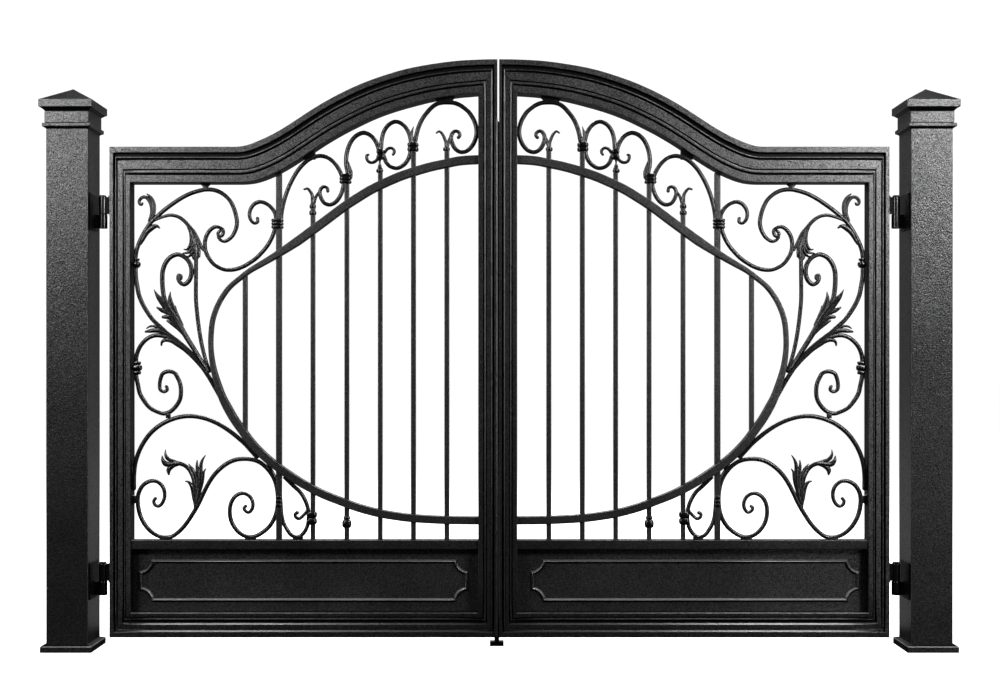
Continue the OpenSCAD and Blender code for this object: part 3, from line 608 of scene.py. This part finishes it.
S2 = [(219.8, 231.2), (218, 233.5), (219, 236.3), (221.7, 236), (223.3, 233), (222.7, 229.8), (219.9, 227.6), (215.4, 227), (211, 229.5),
      (207.3, 234.4), (205.3, 240), (204.9, 246), (206, 252.3), (208.9, 258), (213.4, 263.7), (219, 267.5), (224.8, 269.6), (230.5, 270),
      (237, 269), (244.3, 266.2), (250, 262.8), (256, 258.5), (262, 252.5), (268, 245), (272.5, 236.5), (275, 228.5), (276, 219), (275, 213.5),
      (271.5, 207.8), (266.5, 203.8), (260.5, 202), (254.8, 204), (250.8, 209), (249.5, 215), (251, 220.3), (254.5, 223.3), (257.7, 222),
      (257.5, 218.5)]
S3 = [(153, 221.5), (158, 219), (164, 216.7), (170, 215.4), (177, 216.3), (183, 219.8), (188, 225), (192, 231), (194.5, 238), (195.5, 247),
      (196, 256), (196, 275), (196, 300), (197, 312), (198.5, 325), (200.5, 338), (203, 350), (206, 361), (209.5, 371)]
S4 = [(172, 314), (164.5, 299), (163, 291), (162.3, 281), (162.8, 271), (166, 262.5), (171, 257), (178, 254.5), (184, 256.7), (188.8, 261.5),
      (191.3, 268), (191.3, 275), (188.8, 281), (184.5, 284.3), (180.3, 282.5), (178.2, 278.5), (178.8, 275.3), (180.8, 275.6), (181, 278.5)]
S5 = [(135.5, 268), (135.8, 277), (137.2, 286), (139, 295), (142.4, 303.5), (147.2, 311.8), (152.8, 319.5), (160.5, 326.7), (167, 332.7),
      (174, 338), (181, 343.5), (188, 350), (195, 357.5), (202, 366.5), (209, 377), (216, 389), (223, 401.5), (229, 411.5), (236, 422), (245, 435)]
S6 = [(195, 358), (187, 349.5), (178, 342.5), (170, 338), (163, 336), (156, 335.3), (150, 337), (144.5, 341), (139.8, 347), (137, 354), (136, 361),
      (136.3, 376), (138, 385), (139.8, 393), (144, 400.5), (150, 407.5), (157.5, 411.5), (164, 413.3), (170, 411.5), (176, 406), (180, 399),
      (181, 391), (180, 383), (177.3, 377), (174.5, 372.7), (169, 371.2), (163, 373.3), (160.7, 378.3), (159.7, 384), (160.3, 389.3), (164, 391.5),
      (167.3, 389.5), (166.5, 386.3)]
S7 = [(258, 458), (250, 449), (245, 443.5), (240, 439), (230, 431), (220, 424.5), (210, 419.8), (200, 416.9), (190, 415.8), (180, 416.8), (170, 419.8),
      (160, 425), (150.5, 433), (143.5, 442.5), (138.5, 452.5), (135.3, 463), (134, 475), (134, 488)]
S8 = [(155.5, 498), (153.8, 500.5), (155, 504.3), (158.5, 505.7), (162, 503), (164.5, 497), (164.2, 490), (161.3, 484.3), (156.3, 480.8), (150, 480.8),
      (144, 484), (139.8, 489.8), (137.8, 497), (138.2, 506), (140.3, 515), (144.3, 523.2), (150, 530), (157, 534.7), (165, 536.8), (172, 535.9),
      (178, 531.9), (185.3, 524.4), (192, 514.6), (198, 504.5), (203, 494), (208, 484), (213.5, 475.5), (220, 468.5), (228, 462.6), (236, 459.4),
      (244, 458.5), (251, 459), (258, 461), (264, 465), (270, 471.5), (274.5, 479.3), (277, 488.5), (277.8, 498), (277, 509), (274, 518.5),
      (269, 526.3), (262, 532.2), (255, 535.8), (249, 536.3), (242, 534), (235.7, 528.3), (231.3, 520.5), (229.8, 511), (231.2, 502.3), (235, 496.3),
      (240, 493.2), (245.3, 493.2), (250, 496.3), (252.8, 502), (252.3, 508), (249, 511.8), (245.5, 510.5), (244, 507.5), (245.7, 505.7)]
S9 = [(284, 476), (293, 485), (300, 491.5), (305, 499.5), (308, 508.5), (308.6, 517), (307.5, 525), (304, 532), (298, 536.5), (291.5, 534.5),
      (286.5, 528), (282.8, 520), (281.2, 510), (280.5, 500), (279, 488.5), (275, 477.5), (268, 465)]
S9B = [(307.5, 510), (302.5, 515.8), (298.8, 518.2), (295.7, 516.3), (295.3, 513.3), (297.2, 512.2)]
S10 = [(281, 222), (281.4, 215), (282.5, 208), (285, 198), (289, 187), (294, 177), (299, 169.3), (304, 163.8), (309.5, 159.5), (315.5, 157), (321.5, 156.3),
       (328.5, 158.3), (334.5, 163.3), (339, 169.8), (342, 176.5), (343.7, 184), (342.3, 191), (339.3, 197.8), (335, 202.8), (330, 204.8), (325, 203.5),
       (321.3, 198.8), (319.8, 193), (321.2, 188.7), (324.5, 186.8), (327.3, 188.3), (327.8, 191.3)]
S11 = [(348.5, 178), (347.6, 172), (346.3, 165.5), (346.3, 157), (348.3, 148), (352.2, 140.3), (357.5, 135.3), (364, 133.2), (370.8, 135.8), (375.8, 142),
       (378.5, 149), (380, 157)]
S11B = [(379.5, 155), (378.5, 157.5), (376.3, 160.8), (372.5, 162.8), (368.8, 162), (366.8, 158.8), (366.8, 155.8), (368.3, 155)]
S12 = [(381, 153), (381.2, 147), (381.8, 140), (384, 131.8), (389, 125), (396, 122), (403, 125), (408, 131.5), (410.5, 139.5), (411, 147)]
S12A = [(411, 145), (410.3, 153), (408.2, 159.5), (404, 165), (397.5, 168.3), (391, 167), (386.3, 162.7), (384, 157), (381.5, 151.5)]
S12B = [(382.5, 155), (384.5, 153), (387.5, 149.3), (391, 148.2), (393.8, 150), (394.3, 152.8), (393, 155)]
S13 = [(414.4, 146), (415.4, 141), (416.4, 135.5), (417.8, 130), (419.6, 125), (422, 120), (424.6, 116), (427.4, 112.6), (430.4, 109.2), (433.8, 106.2),
       (438, 104), (443, 103), (448, 102.9), (453, 103.2), (457, 104.3), (461, 106.2), (465, 109), (468.4, 112), (471.2, 115.8), (473.8, 120.4),
       (475.7, 125.5), (476.6, 131), (476.2, 136.5), (474.6, 141.8), (472, 146.4), (468.4, 150.2), (464.6, 152), (461, 152.3), (457.4, 150.8),
       (454.2, 147.6), (452.2, 143.6), (451.1, 139), (451.8, 134.8), (454, 131.9), (456.8, 131.4), (459.2, 133.2), (459.8, 136), (458.4, 137.8)]


def px(w):
    return w * 3.7


def grille():
    m = Mesh()
    half = [px(w) for w in [4.2] * 15 + [3.6, 3.0, 2.6, 2.2] + [2.1] * 6 + [2.4, 2.9, 3.4] + [4.0] * 21]
    swept(m, HOOP, half, 16.0, 2.6, step=1.6, k=3)
    for x, top, foot, w in PICKETS:
        a, b = g((x, foot + 1.4)), g((x, top))
        h = px(w) / 2
        loft(m, a[0], 0.0, [(a[1], h, 9, 3.0), (b[1] - 1.5, h, 9, 3.0), (b[1], h - 1.5, 7.5, 2.5)], 3)
    return m


def bar(m, points, w, a=1.0, b=1.0, hd=7.5, tips=(False, True), knob=(0.0, 0.0)):
    """A scroll bar of width w squares, drawn down to shares a and b at its ends. A knob is the radius in squares of a rolled end."""
    st = np.linspace(0, 1, 41)
    prof = []
    for u in st:
        s = 1.0
        if u < 0.15:
            s = a + (1 - a) * (u / 0.15) ** 0.8
        if u > 0.85:
            s = min(s, b + (1 - b) * ((1 - u) / 0.15) ** 0.8)
        prof.append(px(w + 0.5) / 2 * s)
    dep = [hd * (0.5 + 0.5 * p / max(prof)) for p in prof]
    swept(m, points, prof, dep, px(w) * 0.5, step=1.1, tips=tips, k=4)
    for at, rad in ((points[0], knob[0]), (points[-1], knob[1])):
        if rad:
            ball(m, at[0], at[1], rad)


def weld(m, x0, y0, x1, y1, d=7.0):
    a, b = g((x0, y1)), g((x1, y0))
    block(m, a[0], b[0], -d, d, a[1], b[1], 2.0)


def lug(m, x, stations, d=7.0):
    """A weld that hangs or stands on a member: stations of (square down, half width in squares)."""
    rows = []
    for y, w in sorted(stations, reverse=True):
        c = g((x, y))
        rows.append((c[1], px(w), d, 1.5))
    loft(m, c[0], 0.0, rows, 3)


def crown_scrolls():
    m = Mesh()
    bar(m, S10, 3.8, 1.0, 0.75, knob=(0, 1.7))
    bar(m, S11, 4.0, 1.0, 0.9)
    bar(m, S11B, 2.8, 1.0, 0.8, hd=6.5, knob=(0, 1.3))
    bar(m, S12, 3.8)
    bar(m, S12A, 3.8)
    bar(m, S12B, 2.7, 0.8, 0.8, hd=6.0, knob=(0, 1.2))
    bar(m, S13, 4.0, 1.0, 0.75, knob=(0, 1.8))
    weld(m, 303, 150, 315.5, 160)
    lug(m, 444, [(96, 12.0), (98.6, 11.0), (99.8, 9.6), (101.2, 8.0), (103, 6.0)])
    weld(m, 475, 127, 484.5, 136)
    return m


def upper_scrolls():
    m = Mesh()
    bar(m, S1, 3.8, 1.0, 0.7)
    bar(m, S2, 3.7, 0.75, 0.75, knob=(1.5, 1.7))
    bar(m, S3, 3.6, 0.5, 0.9)
    bar(m, S4, 4.2, 1.15, 0.72, knob=(0, 1.2))
    lug(m, 205.5, [(182.5, 6.0), (184.6, 5.4), (185.6, 4.0), (186.6, 2.9), (188, 2.4), (190.4, 2.4)])
    return m


def lower_scrolls():
    m = Mesh()
    bar(m, S5, 4.0, 1.0, 1.0)
    bar(m, S6, 3.8, 1.0, 0.75, knob=(0, 1.7))
    bar(m, S7, 4.0, 1.0, 1.0)
    bar(m, S8, 3.9, 0.75, 0.75, knob=(1.7, 1.7))
    bar(m, S9, 3.6)
    bar(m, S9B, 3.0, 0.9, 1.0, hd=6.5, knob=(0, 2.0))
    weld(m, 160, 535, 169, 541.5)
    weld(m, 245, 535, 256, 541.5)
    weld(m, 293, 535.5, 303, 541.5)
    weld(m, 166, 413, 170.5, 418)
    swept(m, [(131.4, 458), (131.8, 475), (131.4, 492)], [0.5, 4.5, 6.5, 4.5, 0.5], 7.0, 2.0)
    swept(m, [(130.4, 499.5), (134.2, 499), (138.2, 499)], [24.0, 15.0, 11.0], 7.0, 2.0)
    return m


def leafwork():
    m = Mesh()
    # sprig in the top corner: a strap that curls over and a blade behind it
    blade(m, [(149, 222), (151.8, 214), (151.8, 207), (150.3, 202), (147.8, 198.8), (145, 197.3), (142.3, 197.8), (140.1, 199.8), (139.3, 202.3),
              (140.2, 204.7), (141.9, 205.0), (142.6, 203.4)], [1.2, 1.5, 1.6, 1.7, 1.8, 2.0, 1.9, 1.6, 1.5, 1.5, 1.3, 0.9], 7, -1)
    blade(m, [(150, 222), (152.8, 217), (153.6, 212), (153.8, 206), (152.6, 201), (150.3, 197), (147.2, 194.3)], [1.2, 1.6, 1.9, 1.9, 1.9, 1.6, 0.7], 6.5, 1)
    # leaf beside the stem
    blade(m, [(140.5, 245), (144, 237), (147, 232.3), (150.5, 229), (154, 226.8), (157, 226.2), (159.4, 227.9)], [0.7, 1.7, 2.2, 2.4, 2.6, 2.2, 0.9], 6.5, 0)
    # husk of petals on the tendril
    blade(m, [(188, 226), (192, 234), (194.5, 245), (195.5, 257)], [1.4, 2.6, 3.8, 3.4], 4.5, 0)
    blade(m, [(186, 222), (190, 230), (191.2, 236), (191.2, 242), (189.7, 246.6), (186.8, 249.8), (184.2, 249.5)], [1.2, 1.5, 1.6, 1.6, 1.6, 1.3, 0.6], 7, -1)
    blade(m, [(191.5, 233), (193, 243), (191.7, 249), (188.2, 252.6), (183, 253.4)], [1, 1.6, 1.9, 1.7, 0.5], 6.5, -1)
    blade(m, [(193, 238), (193.9, 247), (192, 253.5), (189, 256.6), (186.6, 256.4)], [1, 1.6, 1.9, 1.5, 0.6], 7.5, -1.5)
    blade(m, [(194.5, 238), (195.7, 248), (196.6, 254), (197.4, 258)], [1, 1.6, 1.7, 0.8], 7, -1.5)
    blade(m, [(195.5, 238), (198, 247), (199.2, 253), (199.7, 257)], [1, 1.6, 1.8, 0.7], 6.5, -1)
    blade(m, [(190, 226), (194.3, 232), (197.6, 239), (200.2, 245), (203.2, 250.6)], [1.1, 1.5, 1.8, 1.9, 0.9], 7, -1)
    # upper acanthus
    blade(m, [(208, 371), (203, 363), (196, 352), (189, 341), (183.5, 332), (178.5, 323.5), (173.5, 316), (168, 309), (162.5, 302.5), (157.5, 295.5), (154.1, 289.3)],
          [1.3, 1.9, 2.1, 2.3, 2.4, 2.6, 2.8, 3.0, 3.0, 2.3, 0.3], 8, -1.5, fold=0.9)
    blade(m, [(176, 320.5), (170, 314), (165.5, 311.6), (161.5, 309.9), (157.6, 307.6)], [1.2, 1.6, 2.1, 2.2, 1.1], 6.5, -1)
    blade(m, [(179, 327), (173, 319.8), (169.5, 317.3), (166.5, 316.8), (163.3, 317)], [1.2, 1.7, 2.3, 2.4, 1.5], 6.5, -1)
    blade(m, [(183, 334), (178, 328), (174, 324.6), (171, 322.6), (167.4, 320.9)], [1.2, 1.7, 2.1, 2.0, 1.0], 6.5, -1)
    blade(m, [(178, 318), (173, 309), (170.6, 302.5), (169.8, 297), (170.4, 291.8)], [2.2, 2.8, 2.6, 1.9, 0.3], 6, 1)
    blade(m, [(182, 326), (177.3, 316), (175.9, 311), (175.6, 305.6)], [1.8, 2.1, 1.6, 0.3], 5.5, 1)
    # lower acanthus
    blade(m, [(172, 336.5), (167, 333.5), (161.5, 329.7), (157, 327), (153, 326), (149.5, 326.6), (146.6, 328.4)], [1.2, 1.4, 1.5, 1.5, 1.4, 1.1, 0.5], 6.5, 0)
    blade(m, [(180, 343), (174, 338.5), (168, 334.6), (163, 332), (158.5, 330.6), (154, 330.4), (149.5, 331), (145.8, 331.7)],
          [1.2, 1.4, 1.7, 1.9, 2.1, 2.2, 2.0, 1.0], 7, -1)
    blade(m, [(205, 371), (197, 361), (190, 353.5), (184, 348), (178, 344), (172.5, 341), (168, 339.9), (164, 340.4), (161.9, 342.4), (161.5, 345.2)],
          [1.3, 1.8, 2.0, 2.2, 2.4, 2.6, 2.6, 2.1, 1.7, 0.8], 7.5, -1)
    # flower and leaves on the lower scroll
    blade(m, [(194.6, 511), (195.0, 505), (195.6, 499), (196.3, 490), (196, 480)], [0.5, 1.5, 3.0, 3.6, 2.6], 6, 0)
    blade(m, [(195.2, 504), (194.9, 495), (194.6, 487), (193.5, 479.5), (191.5, 473.5), (188.5, 468.3), (184.5, 464.8), (180, 463.1), (174, 462.7)],
          [1.6, 1.9, 1.9, 1.7, 1.6, 1.7, 1.9, 2.1, 2.1], 7, -1)
    blade(m, [(179, 462), (173.5, 460.6), (169.5, 459.4), (166.7, 457), (165.3, 453.5), (165.6, 449.3)], [1.2, 1.5, 1.8, 1.8, 1.0, 0.25], 6, 1)
    blade(m, [(179, 463), (174, 463.2), (169.2, 464), (165.6, 463.2), (163.1, 460), (162.3, 455.5)], [1.5, 1.9, 2.4, 2.5, 1.6, 0.4], 8, -2)
    blade(m, [(179, 463.6), (173.8, 465), (170.4, 467.2), (168.7, 470), (168.9, 473.9)], [1.5, 1.9, 2.3, 2.2, 0.9], 7, -1)
    blade(m, [(195, 503), (194, 498), (193.2, 492), (192.2, 487.5), (190.7, 483.8), (188.5, 481.4), (185.6, 480.8)], [1.4, 1.6, 1.8, 1.8, 1.8, 1.5, 0.6], 6.5, -1)
    blade(m, [(196.5, 495), (196, 483), (194.8, 476), (193.2, 471), (191.3, 467), (188.7, 463.6)], [1.6, 1.9, 2.1, 2.1, 1.7, 0.4], 6.5, 0)
    blade(m, [(198, 488), (198, 477), (197.5, 470), (197, 464.5), (197.3, 460)], [2.0, 2.0, 1.8, 1.5, 0.5], 6.5, -1)
    blade(m, [(197.5, 500), (199.5, 488), (200.4, 478), (200.6, 470), (201.2, 463.5), (202.8, 459), (205.4, 455)], [1.8, 2.2, 2.4, 2.3, 1.9, 1.4, 0.4], 7, 0)
    blade(m, [(200, 491), (201.8, 483), (202.8, 477), (203.6, 472), (205.6, 468.5)], [1.2, 1.6, 1.7, 1.4, 0.5], 6, 1)
    # split tips over the pickets
    blade(m, [(312.5, 206), (312.6, 200), (312, 195), (310, 191.3), (307.5, 188.8), (304.3, 189.6)], [1.7, 1.7, 1.6, 1.5, 1.4, 0.9], 6.5, 0)
    blade(m, [(313.8, 205), (315, 200), (316.5, 196), (319.5, 191.5)], [1.3, 1.4, 1.3, 0.8], 6, 0)
    blade(m, [(446.2, 150), (446, 143), (444.8, 139.5), (442.3, 134.3), (439.3, 131.7), (436.5, 133.3)], [1.6, 1.6, 1.5, 1.4, 1.3, 0.8], 6.5, 0)
    blade(m, [(447.2, 149), (448.4, 143), (449.6, 139), (451.5, 135)], [1.3, 1.4, 1.3, 0.8], 6, 0)
    blade(m, [(412.3, 146), (411.2, 138), (412.0, 132), (413.6, 127)], [1.5, 1.8, 1.4, 0.3], 6, 0)
    blade(m, [(414, 146), (415, 138), (416.6, 132)], [1.5, 1.8, 0.4], 6.5, -1)
    blade(m, [(348.4, 162), (349.8, 168), (351.2, 173), (351.6, 178)], [0.4, 1.2, 1.5, 0.8], 6, 0)
    return m


def beads(m, x, y0, y1, hw, hd, count, square=0.5, waist=0.80):
    """A stack of rounded rings round a bar."""
    a, b = g((x, y1)), g((x, y0))
    z0, z1 = a[1], b[1]
    rows = []
    h = (z1 - z0) / count
    for c in range(count):
        for k in range(9):
            t = -1.0 + 2.0 * k / 8
            s = waist + (1 - waist) * math.sqrt(max(0.0, 1 - t * t * 0.995))
            if c and k == 0:
                continue
            rows.append((z0 + h * (c + (t + 1) / 2), px(hw) * s, hd * s, px(hw) * s * square))
    rows[0] = (rows[0][0], rows[0][1] * 0.92, rows[0][2] * 0.92, rows[0][3])
    rows[-1] = (rows[-1][0], rows[-1][1] * 0.92, rows[-1][2] * 0.92, rows[-1][3])
    loft(m, a[0], 0.0, rows, 5)


def ball(m, x, y, rx, ry=None):
    c = g((x, y))
    ry = ry or rx
    rows = []
    for k in range(1, 16):
        a = math.pi * k / 16
        s = math.sin(a)
        rows.append((c[1] - px(ry) * math.cos(a), px(rx) * s, px(rx) * s, px(rx) * s))
    loft(m, c[0], 0.0, rows, 6)


def collars():
    m = Mesh()
    beads(m, 277.5, 219, 229, 6.0, 16, 3)
    beads(m, 345.5, 174, 184, 6.0, 16, 3)
    beads(m, 413.0, 143, 152, 5.6, 16, 2)
    beads(m, 380.5, 149.5, 160, 4.0, 14, 2, waist=0.6)
    neck = ((170.2, 2.6), (168.0, 2.2), (166.0, 1.8), (164.9, 1.5), (164.2, 0.95), (162.5, 0.95), (161.0, 1.25), (159.0, 1.7), (156.5, 2.6), (154.0, 2.6))
    loft(m, g((379.8, 160))[0], 0.0, [(g((379.8, y))[1], px(w), px(w), px(w) * 0.98) for y, w in neck], 6)
    ball(m, 379.7, 171.2, 3.6, 2.8)
    beads(m, 312.8, 204.5, 209, 3.3, 11.5, 1, square=0.9, waist=0.7)
    beads(m, 312.8, 210.8, 215.6, 3.6, 12.5, 1, square=0.9, waist=0.7)
    beads(m, 446.5, 147.4, 151.8, 3.5, 12, 1, square=0.9, waist=0.7)
    beads(m, 136.5, 258.2, 260.8, 3.2, 11, 1, square=0.9)
    ball(m, 136.5, 264.4, 4.2, 4.2)
    beads(m, 137.3, 361, 364.6, 3.5, 11.5, 1, waist=0.7)
    beads(m, 137.3, 364.4, 370.8, 4.6, 14.5, 1, waist=0.6)
    beads(m, 137.3, 370.6, 374.4, 3.5, 11.5, 1, waist=0.7)
    beads(m, 311.8, 511, 524, 5.2, 15, 2, waist=0.7)
    beads(m, 346.8, 519, 527.5, 4.7, 14, 1, square=0.7, waist=0.6)
    beads(m, 346.8, 515.6, 519, 3.4, 11, 1, square=0.8)
    beads(m, 278.9, 495, 507, 2.9, 11, 3)
    return m


# ------------------------------------------------------------------ hinges


def pintle(z):
    """Post half of a hinge: plate on the post's face, web, lower knuckle and pin."""
    m = Mesh()
    block(m, -1503.4, -1498, -62, 22, z - 9, z + 126, 1.2)
    block(m, -1503.4, -1502.2, 20, 54, z - 9, z + 126, 0.5)
    block(m, -1499, -1476, -8, 8, z + 1, z + 51, 1.0)
    m.deep.update(range(len(m.f)))  # painted shade: the flat plates and the web get the dark shade paint
    barrel(m, -1469, 0, 16, z, z + 52, 2.0)
    barrel(m, -1469, 0, 9, z + 40, z + 118.5, 0.8)
    barrel(m, -1469, 0, 12, z + 118, z + 123, 1.8)
    return m


def eye(z):
    """Leaf half: plate on the stile, web and the knuckle that turns on the pin."""
    m = Mesh()
    block(m, -1444, -1438, -20, 20, z + 50, z + 120, 1.2)
    block(m, -1460, -1442, -8, 8, z + 54, z + 116, 1.0)
    # painted shade on the eye's plate and web
    m.deep.update(range(len(m.f)))
    outer, inner = 16.0, 9.05
    rows = []
    z0, z1, c = z + 53, z + 117, 2.0
    prof = [(inner, z0 + 0.8), (inner + 0.8, z0), (outer - c, z0), (outer - 0.6, z0 + 0.6), (outer, z0 + c), (outer, z1 - c), (outer - 0.6, z1 - 0.6),
            (outer - c, z1), (inner + 0.8, z1), (inner, z1 - 0.8)]
    n = 40
    loops = [[(-1469 + r * math.cos(2 * math.pi * j / n), r * math.sin(2 * math.pi * j / n), zz) for r, zz in prof] for j in range(n)]
    m.rings(loops, closed=True)
    return m


# ------------------------------------------------------------------ both leaves

for side, mirror in (("left", False), ("right", True)):
    body = f"{side}_leaf"

    def put(part, mesh, slot, who=body, sharp=32.0, flat=False, coat=None, highlight=EDGE_HIGHLIGHT, under=None):
        emit(f"{side}_{part}_fine", mesh, who, slot, f"{side}_{part}", mirror, sharp, flat, coat, highlight, under)

    edge, face = (1.2, -65.6) if mirror else (-7.6, -78.2)  # the meeting line lies a little left of the middle
    put("top_rail", member(*rail_lines(edge, face), "crown", ("stile", "meet")), "frame_paint", flat=True)
    put("hinge_stile", member(*straight((-1438, FOOT), (-1359.5, SILL), TOP0, LOW0), "stile", ("foot", "crown")), "frame_paint", flat=True)
    # painted shade on the meeting stiles and the rails, painted highlights on the meeting stiles' beads
    put("meeting_stile", member(*straight((edge, FOOT), (face, SILL), (edge, TOP1), (face, LOW1)), "meet", ("foot", "crown")), "frame_paint", flat=True, coat=SHADED_FRAME, highlight=MEETING_HIGHLIGHT)
    put("bottom_rail", member(*straight((-1438, FOOT), (-1359.5, SILL), (edge, FOOT), (face, SILL)), "foot", ("stile", "meet")), "frame_paint", flat=True, coat=SHADED_FRAME)
    mr = Mesh()
    block(mr, -1362, face + 2.5, -24, 24, 368, 401.4, 2.0)
    put("mid_rail", mr, "frame_paint", flat=True, coat=SHADED_FRAME)
    pn = Mesh()
    block(pn, -1362, face + 2.5, 16, 22, 134, 368.5, 0.8)
    put("kick_panel", pn, "frame_paint", flat=True)
    put("panel_bead", panel_bead(), "frame_paint", sharp=50, highlight=BRIGHT_HIGHLIGHT)
    # painted shade under the bars: faces looking steeply down get the dark shade paint; the scrolls and leafwork get
    # the shaded copy of the ironwork paint
    put("grille", grille(), "ironwork_paint", flat=True, under=-0.5)
    put("crown_scrolls", crown_scrolls(), "ironwork_paint", sharp=50, coat=SHADED_IRON, under=-0.5)
    put("upper_scrolls", upper_scrolls(), "ironwork_paint", sharp=50, coat=SHADED_IRON, under=-0.5)
    put("lower_scrolls", lower_scrolls(), "ironwork_paint", sharp=50, coat=SHADED_IRON, under=-0.5)
    put("leafwork", leafwork(), "ironwork_paint", sharp=60, coat=SHADED_IRON)
    put("collars", collars(), "ironwork_paint", sharp=60, coat=HARD)
    for part, z in (("upper", 1554), ("lower", 196)):
        put(f"{part}_hinge_pintle", pintle(z), "hardware_paint", who="posts", flat=True)
        put(f"{part}_hinge_eye", eye(z), "hardware_paint", flat=True)

# meeting line
ms = Mesh()
prof = [(-17.4, -28.0), (-17.4, -33.0), (-17.0, -34.4), (-16.0, -35.0), (-10.6, -35.0), (-9.2, -34.4), (-6.8, -31.8), (-6.2, -30.6), (-6.2, -28.0)]
# painted highlight on the strip's right-hand chamfer; the strip gets the shaded copy of the frame paint
ms.rings([[(x, y, z) for x, y in prof] for z in (49, 51, 1952, 1954)], edge=[j in (4, 5, 6) for j in range(len(prof))])
emit("left_meeting_strip_fine", ms, "left_leaf", "frame_paint", "left_meeting_strip", flat=True, coat=SHADED_FRAME, highlight=MEETING_HIGHLIGHT)
rd = Mesh()
barrel(rd, -10, 48, 9, 18, 1960, 3.0)
emit("drop_rod_fine", rd, "drop_rod", "hardware_paint", "drop_rod")


def soften(node, slot, width=1.2):
    """Eases the edges of a plain CAD piece and gives it its paint."""
    ob = NODES[node]
    ob.data.materials.clear()
    ob.data.materials.append(SLOT[slot])
    w = ob.modifiers.new("weld", "WELD")
    w.merge_threshold = 0.00001
    d = ob.modifiers.new("planar", "DECIMATE")
    d.decimate_type = "DISSOLVE"
    d.angle_limit = math.radians(1.0)
    b = ob.modifiers.new("ease", "BEVEL")
    b.width = width * MM
    b.segments = 3
    b.limit_method = "ANGLE"
    b.angle_limit = math.radians(40)
    b.harden_normals = False


NODES = FRAME_NODES
soften("ground_keeper", "hardware_paint", 3.0)
soften("left_rod_guides", "hardware_paint", 2.0)

# ------------------------------------------------------------------ stage


def stage_material(name, col, glow):
    m = bpy.data.materials.new(name)
    m.use_nodes = True
    b = m.node_tree.nodes["Principled BSDF"]
    b.inputs["Base Color"].default_value = (col, col, col, 1)
    b.inputs["Roughness"].default_value = 0.9
    b.inputs["Specular IOR Level"].default_value = 0.1
    b.inputs["Emission Color"].default_value = (1, 1, 1, 1)
    b.inputs["Emission Strength"].default_value = glow
    return m


fm = bpy.data.meshes.new("floor")
fm.from_pydata([(-60, -60, 0), (64, -60, 0), (64, 160, 0), (-60, 160, 0)], [], [(0, 1, 2, 3)])
floor = bpy.data.objects.new("floor", fm)
scene.collection.objects.link(floor)
fm.materials.append(stage_material("floor_white", 0.80, 1.0))
floor.visible_diffuse = False
floor.visible_glossy = False

world = bpy.data.worlds.new("world")
scene.world = world
world.use_nodes = True
bg = world.node_tree.nodes["Background"]
bg.inputs["Color"].default_value = (1, 1, 1, 1)
bg.inputs["Strength"].default_value = 1.05
world.cycles_visibility.diffuse = False
world.cycles_visibility.glossy = False


def area(name, loc, aim, size, power, size_y=None):
    li = bpy.data.lights.new(name, "AREA")
    li.energy = power
    li.shape = "RECTANGLE"
    li.size = size
    li.size_y = size_y or size
    ob = bpy.data.objects.new(name, li)
    ob.location = loc
    ob.rotation_euler = (Vector(aim) - Vector(loc)).to_track_quat("-Z", "Y").to_euler()
    scene.collection.objects.link(ob)
    return ob


C = MID * MM


def around(side, turn, lift, reach):
    """A place in front of a post's top: turned outwards, lifted and that far away."""
    a, e = math.radians(turn), math.radians(lift)
    return (C + side * (1.58 + reach * math.sin(a) * math.cos(e)), -0.075 - reach * math.cos(a) * math.cos(e), 1.9 + reach * math.sin(e))


# turn, lift, reach, size and power of the lamps in front of each post
LAMPS = {
    -1: ((24, 14, 4.0, 1.2, 97), (15, 60, 2.5, 1.0, 48)),
    1: ((24, 14, 4.0, 1.2, 144), (15, 60, 2.5, 1.0, 66)),
}
for side, lamps in LAMPS.items():
    for k, (turn, lift, reach, size, power) in enumerate(lamps):
        area(f"lamp_{'left' if side < 0 else 'right'}_{k}", around(side, turn, lift, reach), (C + side * 1.3, 0, 1.6), size, power)
for side in (-1, 1):
    area(f"strip_{'left' if side < 0 else 'right'}", (C + side * 5.4, -3.4, 0.9), (C + side * 0.9, 0, 0.8), 0.5, 34, 1.7)
area("lamp_low", (C + 3.5, -4.6, 0.45), (C + 1.4, 0, 0.3), 1.4, 6, 0.7)
area("back_soft", (C, 3.0, 5.5), (C, 0, 1.0), 4.0, 630)
area("floor_glow", (C, 5.1, 0.02), (C, 5.1, 1.0), 9.6, 70).visible_camera = False
area("back_low", (C, 5.0, 1.5), (C, 0, 1.1), 9.0, 13, 3.0).visible_camera = False

cam = bpy.data.cameras.new("camera")
cam.sensor_fit = "HORIZONTAL"
cam.sensor_width = 36.0
cam.lens = 36.0 * 1.367
cam.shift_x = 0.00055
cam.shift_y = 0.0256
cam.clip_end = 200
co = bpy.data.objects.new("camera", cam)
co.location = (C, -5.066, 1.009)
co.rotation_euler = (math.radians(90), 0, 0)
scene.collection.objects.link(co)
scene.camera = co

scene.view_settings.view_transform = "Standard"
scene.view_settings.look = "None"
